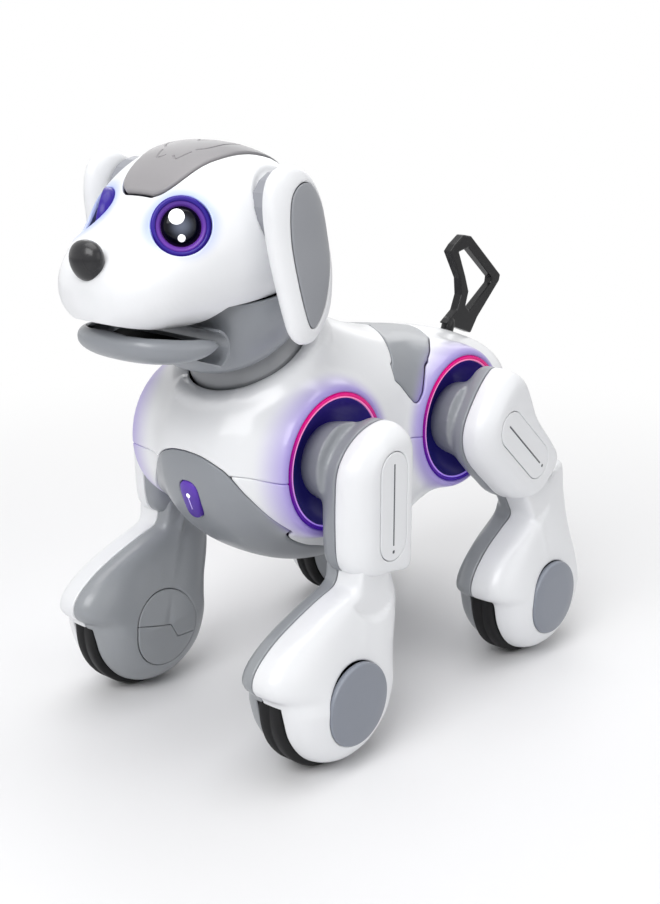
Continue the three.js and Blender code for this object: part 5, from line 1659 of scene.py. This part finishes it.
def make_shin(plan, letter):
    skin, bodies, hub = shin_skin(plan), both_bodies("shin", letter), hub_distance(plan)
    outer_x, inner_x = foot_middle_x + foot_half_width / 2, foot_middle_x - foot_half_width / 2
    cap = all_of(lambda p: hub_cap_radius + gap - hub(p), lambda p: p[:, 0] - outer_x)
    disc = lambda p: np.where(p[:, 0] < inner_x, circle_radius - hub(p), -far)
    clear = all_of(away_from(wheel_slot(plan)), away_from(cap))
    inner = all_of(lambda p: foot_split_x - gap - p[:, 0], clear, away_from(disc, fine_gap))
    outer = all_of(lambda p: p[:, 0] - foot_split_x - gap, clear)
    pair("foot_half_" + letter, on_both(skin.part(inner, rim, foot_wall)), foot_grey, bodies,
         ["shin_inner_" + letter], "pale_grey_shell")
    pair("foot_face_" + letter, on_both(skin.part(outer, rim, foot_wall)), white, bodies,
         ["shin_outer_" + letter], "white_shell")
    over = over_zigzag(plan)
    for label, half in (("upper", over), ("lower", away_from(over))):
        field = all_of(within(disc, fine_gap), within(half, fine_gap))
        shape = on_both(skin.part(field, thin_rim, foot_wall))
        pair("foot_disc_%s_%s" % (label, letter), shape, foot_grey, bodies, slot="pale_grey_shell")
    make_hub_cap(plan, letter, bodies)


def make_wheel(plan, letter):
    half = [(foot_middle_x + x * wheel_half_width, wheel_radius - drop * wheel_half_width)
            for x, drop in tyre_half_shares]
    half = [(foot_middle_x - wheel_half_width, 0.0)] + half
    profile = half + [(2 * foot_middle_x - x, radius) for x, radius in half[::-1]]
    place = (0, plan["wheel_y"], wheel_radius)
    pair("tyre_" + letter, on_both(turned(profile, place, (1, 0, 0), 160)), rubber,
         both_bodies("wheel", letter), ["wheel_" + letter], "wheel_rubber")


def make_legs():
    for front, letter in ((True, "f"), (False, "r")):
        plan = leg_plan(front)
        make_thigh(plan, letter)
        make_shin(plan, letter)
        make_wheel(plan, letter)


# Studio

def make_lamp(name, place, size, watts):
    data = bpy.data.lights.new(name, "AREA")
    data.shape = "RECTANGLE"
    data.size, data.size_y = size
    data.energy = watts
    lamp = bpy.data.objects.new(name, data)
    lamp.location = place
    lamp.rotation_euler = (Vector(lamp_aim) - Vector(place)).to_track_quat("-Z", "Y").to_euler()
    bpy.context.scene.collection.objects.link(lamp)


def make_studio():
    for name, (place, size, watts) in lamps.items():
        make_lamp(name, place, size, watts)
    world = bpy.data.worlds.new("studio")
    bpy.context.scene.world = world
    world.use_nodes = True
    tree = world.node_tree
    tree.nodes.clear()
    path = node(tree, "ShaderNodeLightPath")
    seen = path.outputs["Is Camera Ray"]
    for ray in ("Is Transmission Ray", "Is Glossy Ray"):
        seen = math_node(tree, "MAXIMUM", seen, path.outputs[ray])
    strength = node(tree, "ShaderNodeMapRange", Value=seen, _3=ambient, _4=1.0).outputs[0]
    sky = node(tree, "ShaderNodeBackground", Strength=strength, Color=(1, 1, 1, 1))
    out = node(tree, "ShaderNodeOutputWorld")
    tree.links.new(sky.outputs[0], out.inputs["Surface"])


def floor_material():
    """Plain pale floor that turns into the white backdrop away from the dog."""
    material, tree, shader = new_material("floor", 0.55, shine=0.25)
    shader.inputs["Base Color"].default_value = (0.86, 0.86, 0.87, 1)
    place = object_place(tree)
    away = node(tree, "ShaderNodeVectorMath", {"operation": "LENGTH"}, _0=place).outputs["Value"]
    fade = node(tree, "ShaderNodeMapRange", {"interpolation_type": "SMOOTHSTEP"}, Value=away,
                _1=floor_fade[0], _2=floor_fade[1]).outputs[0]
    fine = node(tree, "ShaderNodeTexNoise", Vector=place, Scale=floor_grain_scale, Detail=3.0).outputs["Fac"]
    bump = node(tree, "ShaderNodeBump", Height=fine, Strength=0.2, Distance=floor_grain_height)
    tree.links.new(bump.outputs[0], shader.inputs["Normal"])
    path = node(tree, "ShaderNodeLightPath")
    seen = math_node(tree, "MULTIPLY", path.outputs["Is Camera Ray"], fade)
    white_shader = node(tree, "ShaderNodeEmission", Strength=1.0)
    mixed = node(tree, "ShaderNodeMixShader", _0=seen, _1=shader.outputs[0], _2=white_shader.outputs[0])
    tree.links.new(mixed.outputs[0], tree.nodes["Material Output"].inputs["Surface"])
    return material


def make_floor():
    sides = 96
    turns = [2 * math.pi * i / sides for i in range(sides)]
    points = [(0, 0, 0)] + [(floor_reach * math.cos(turn), floor_reach * math.sin(turn), 0) for turn in turns]
    faces = [(0, i + 1, (i + 1) % sides + 1) for i in range(sides)]
    mesh = bpy.data.meshes.new("floor")
    mesh.from_pydata(points, [], faces)
    mesh.materials.append(floor_material())
    thing = bpy.data.objects.new("floor", mesh)
    bpy.context.scene.collection.objects.link(thing)


def make_camera():
    data = bpy.data.cameras.new("camera")
    data.lens = camera_lens
    camera = bpy.data.objects.new("camera", data)
    camera.location = camera_place
    camera.rotation_euler = (math.pi / 2 - camera_down, 0, camera_turn)
    bpy.context.scene.collection.objects.link(camera)
    bpy.context.scene.camera = camera


bpy.context.scene.view_settings.view_transform = "Standard"
make_torso()
make_button()
make_hips()
make_tail()
make_neck()
make_head()
make_head_base()
make_nose()
make_jaw()
make_eyes()
make_ears()
make_legs()
make_camera()
make_studio()
make_floor()
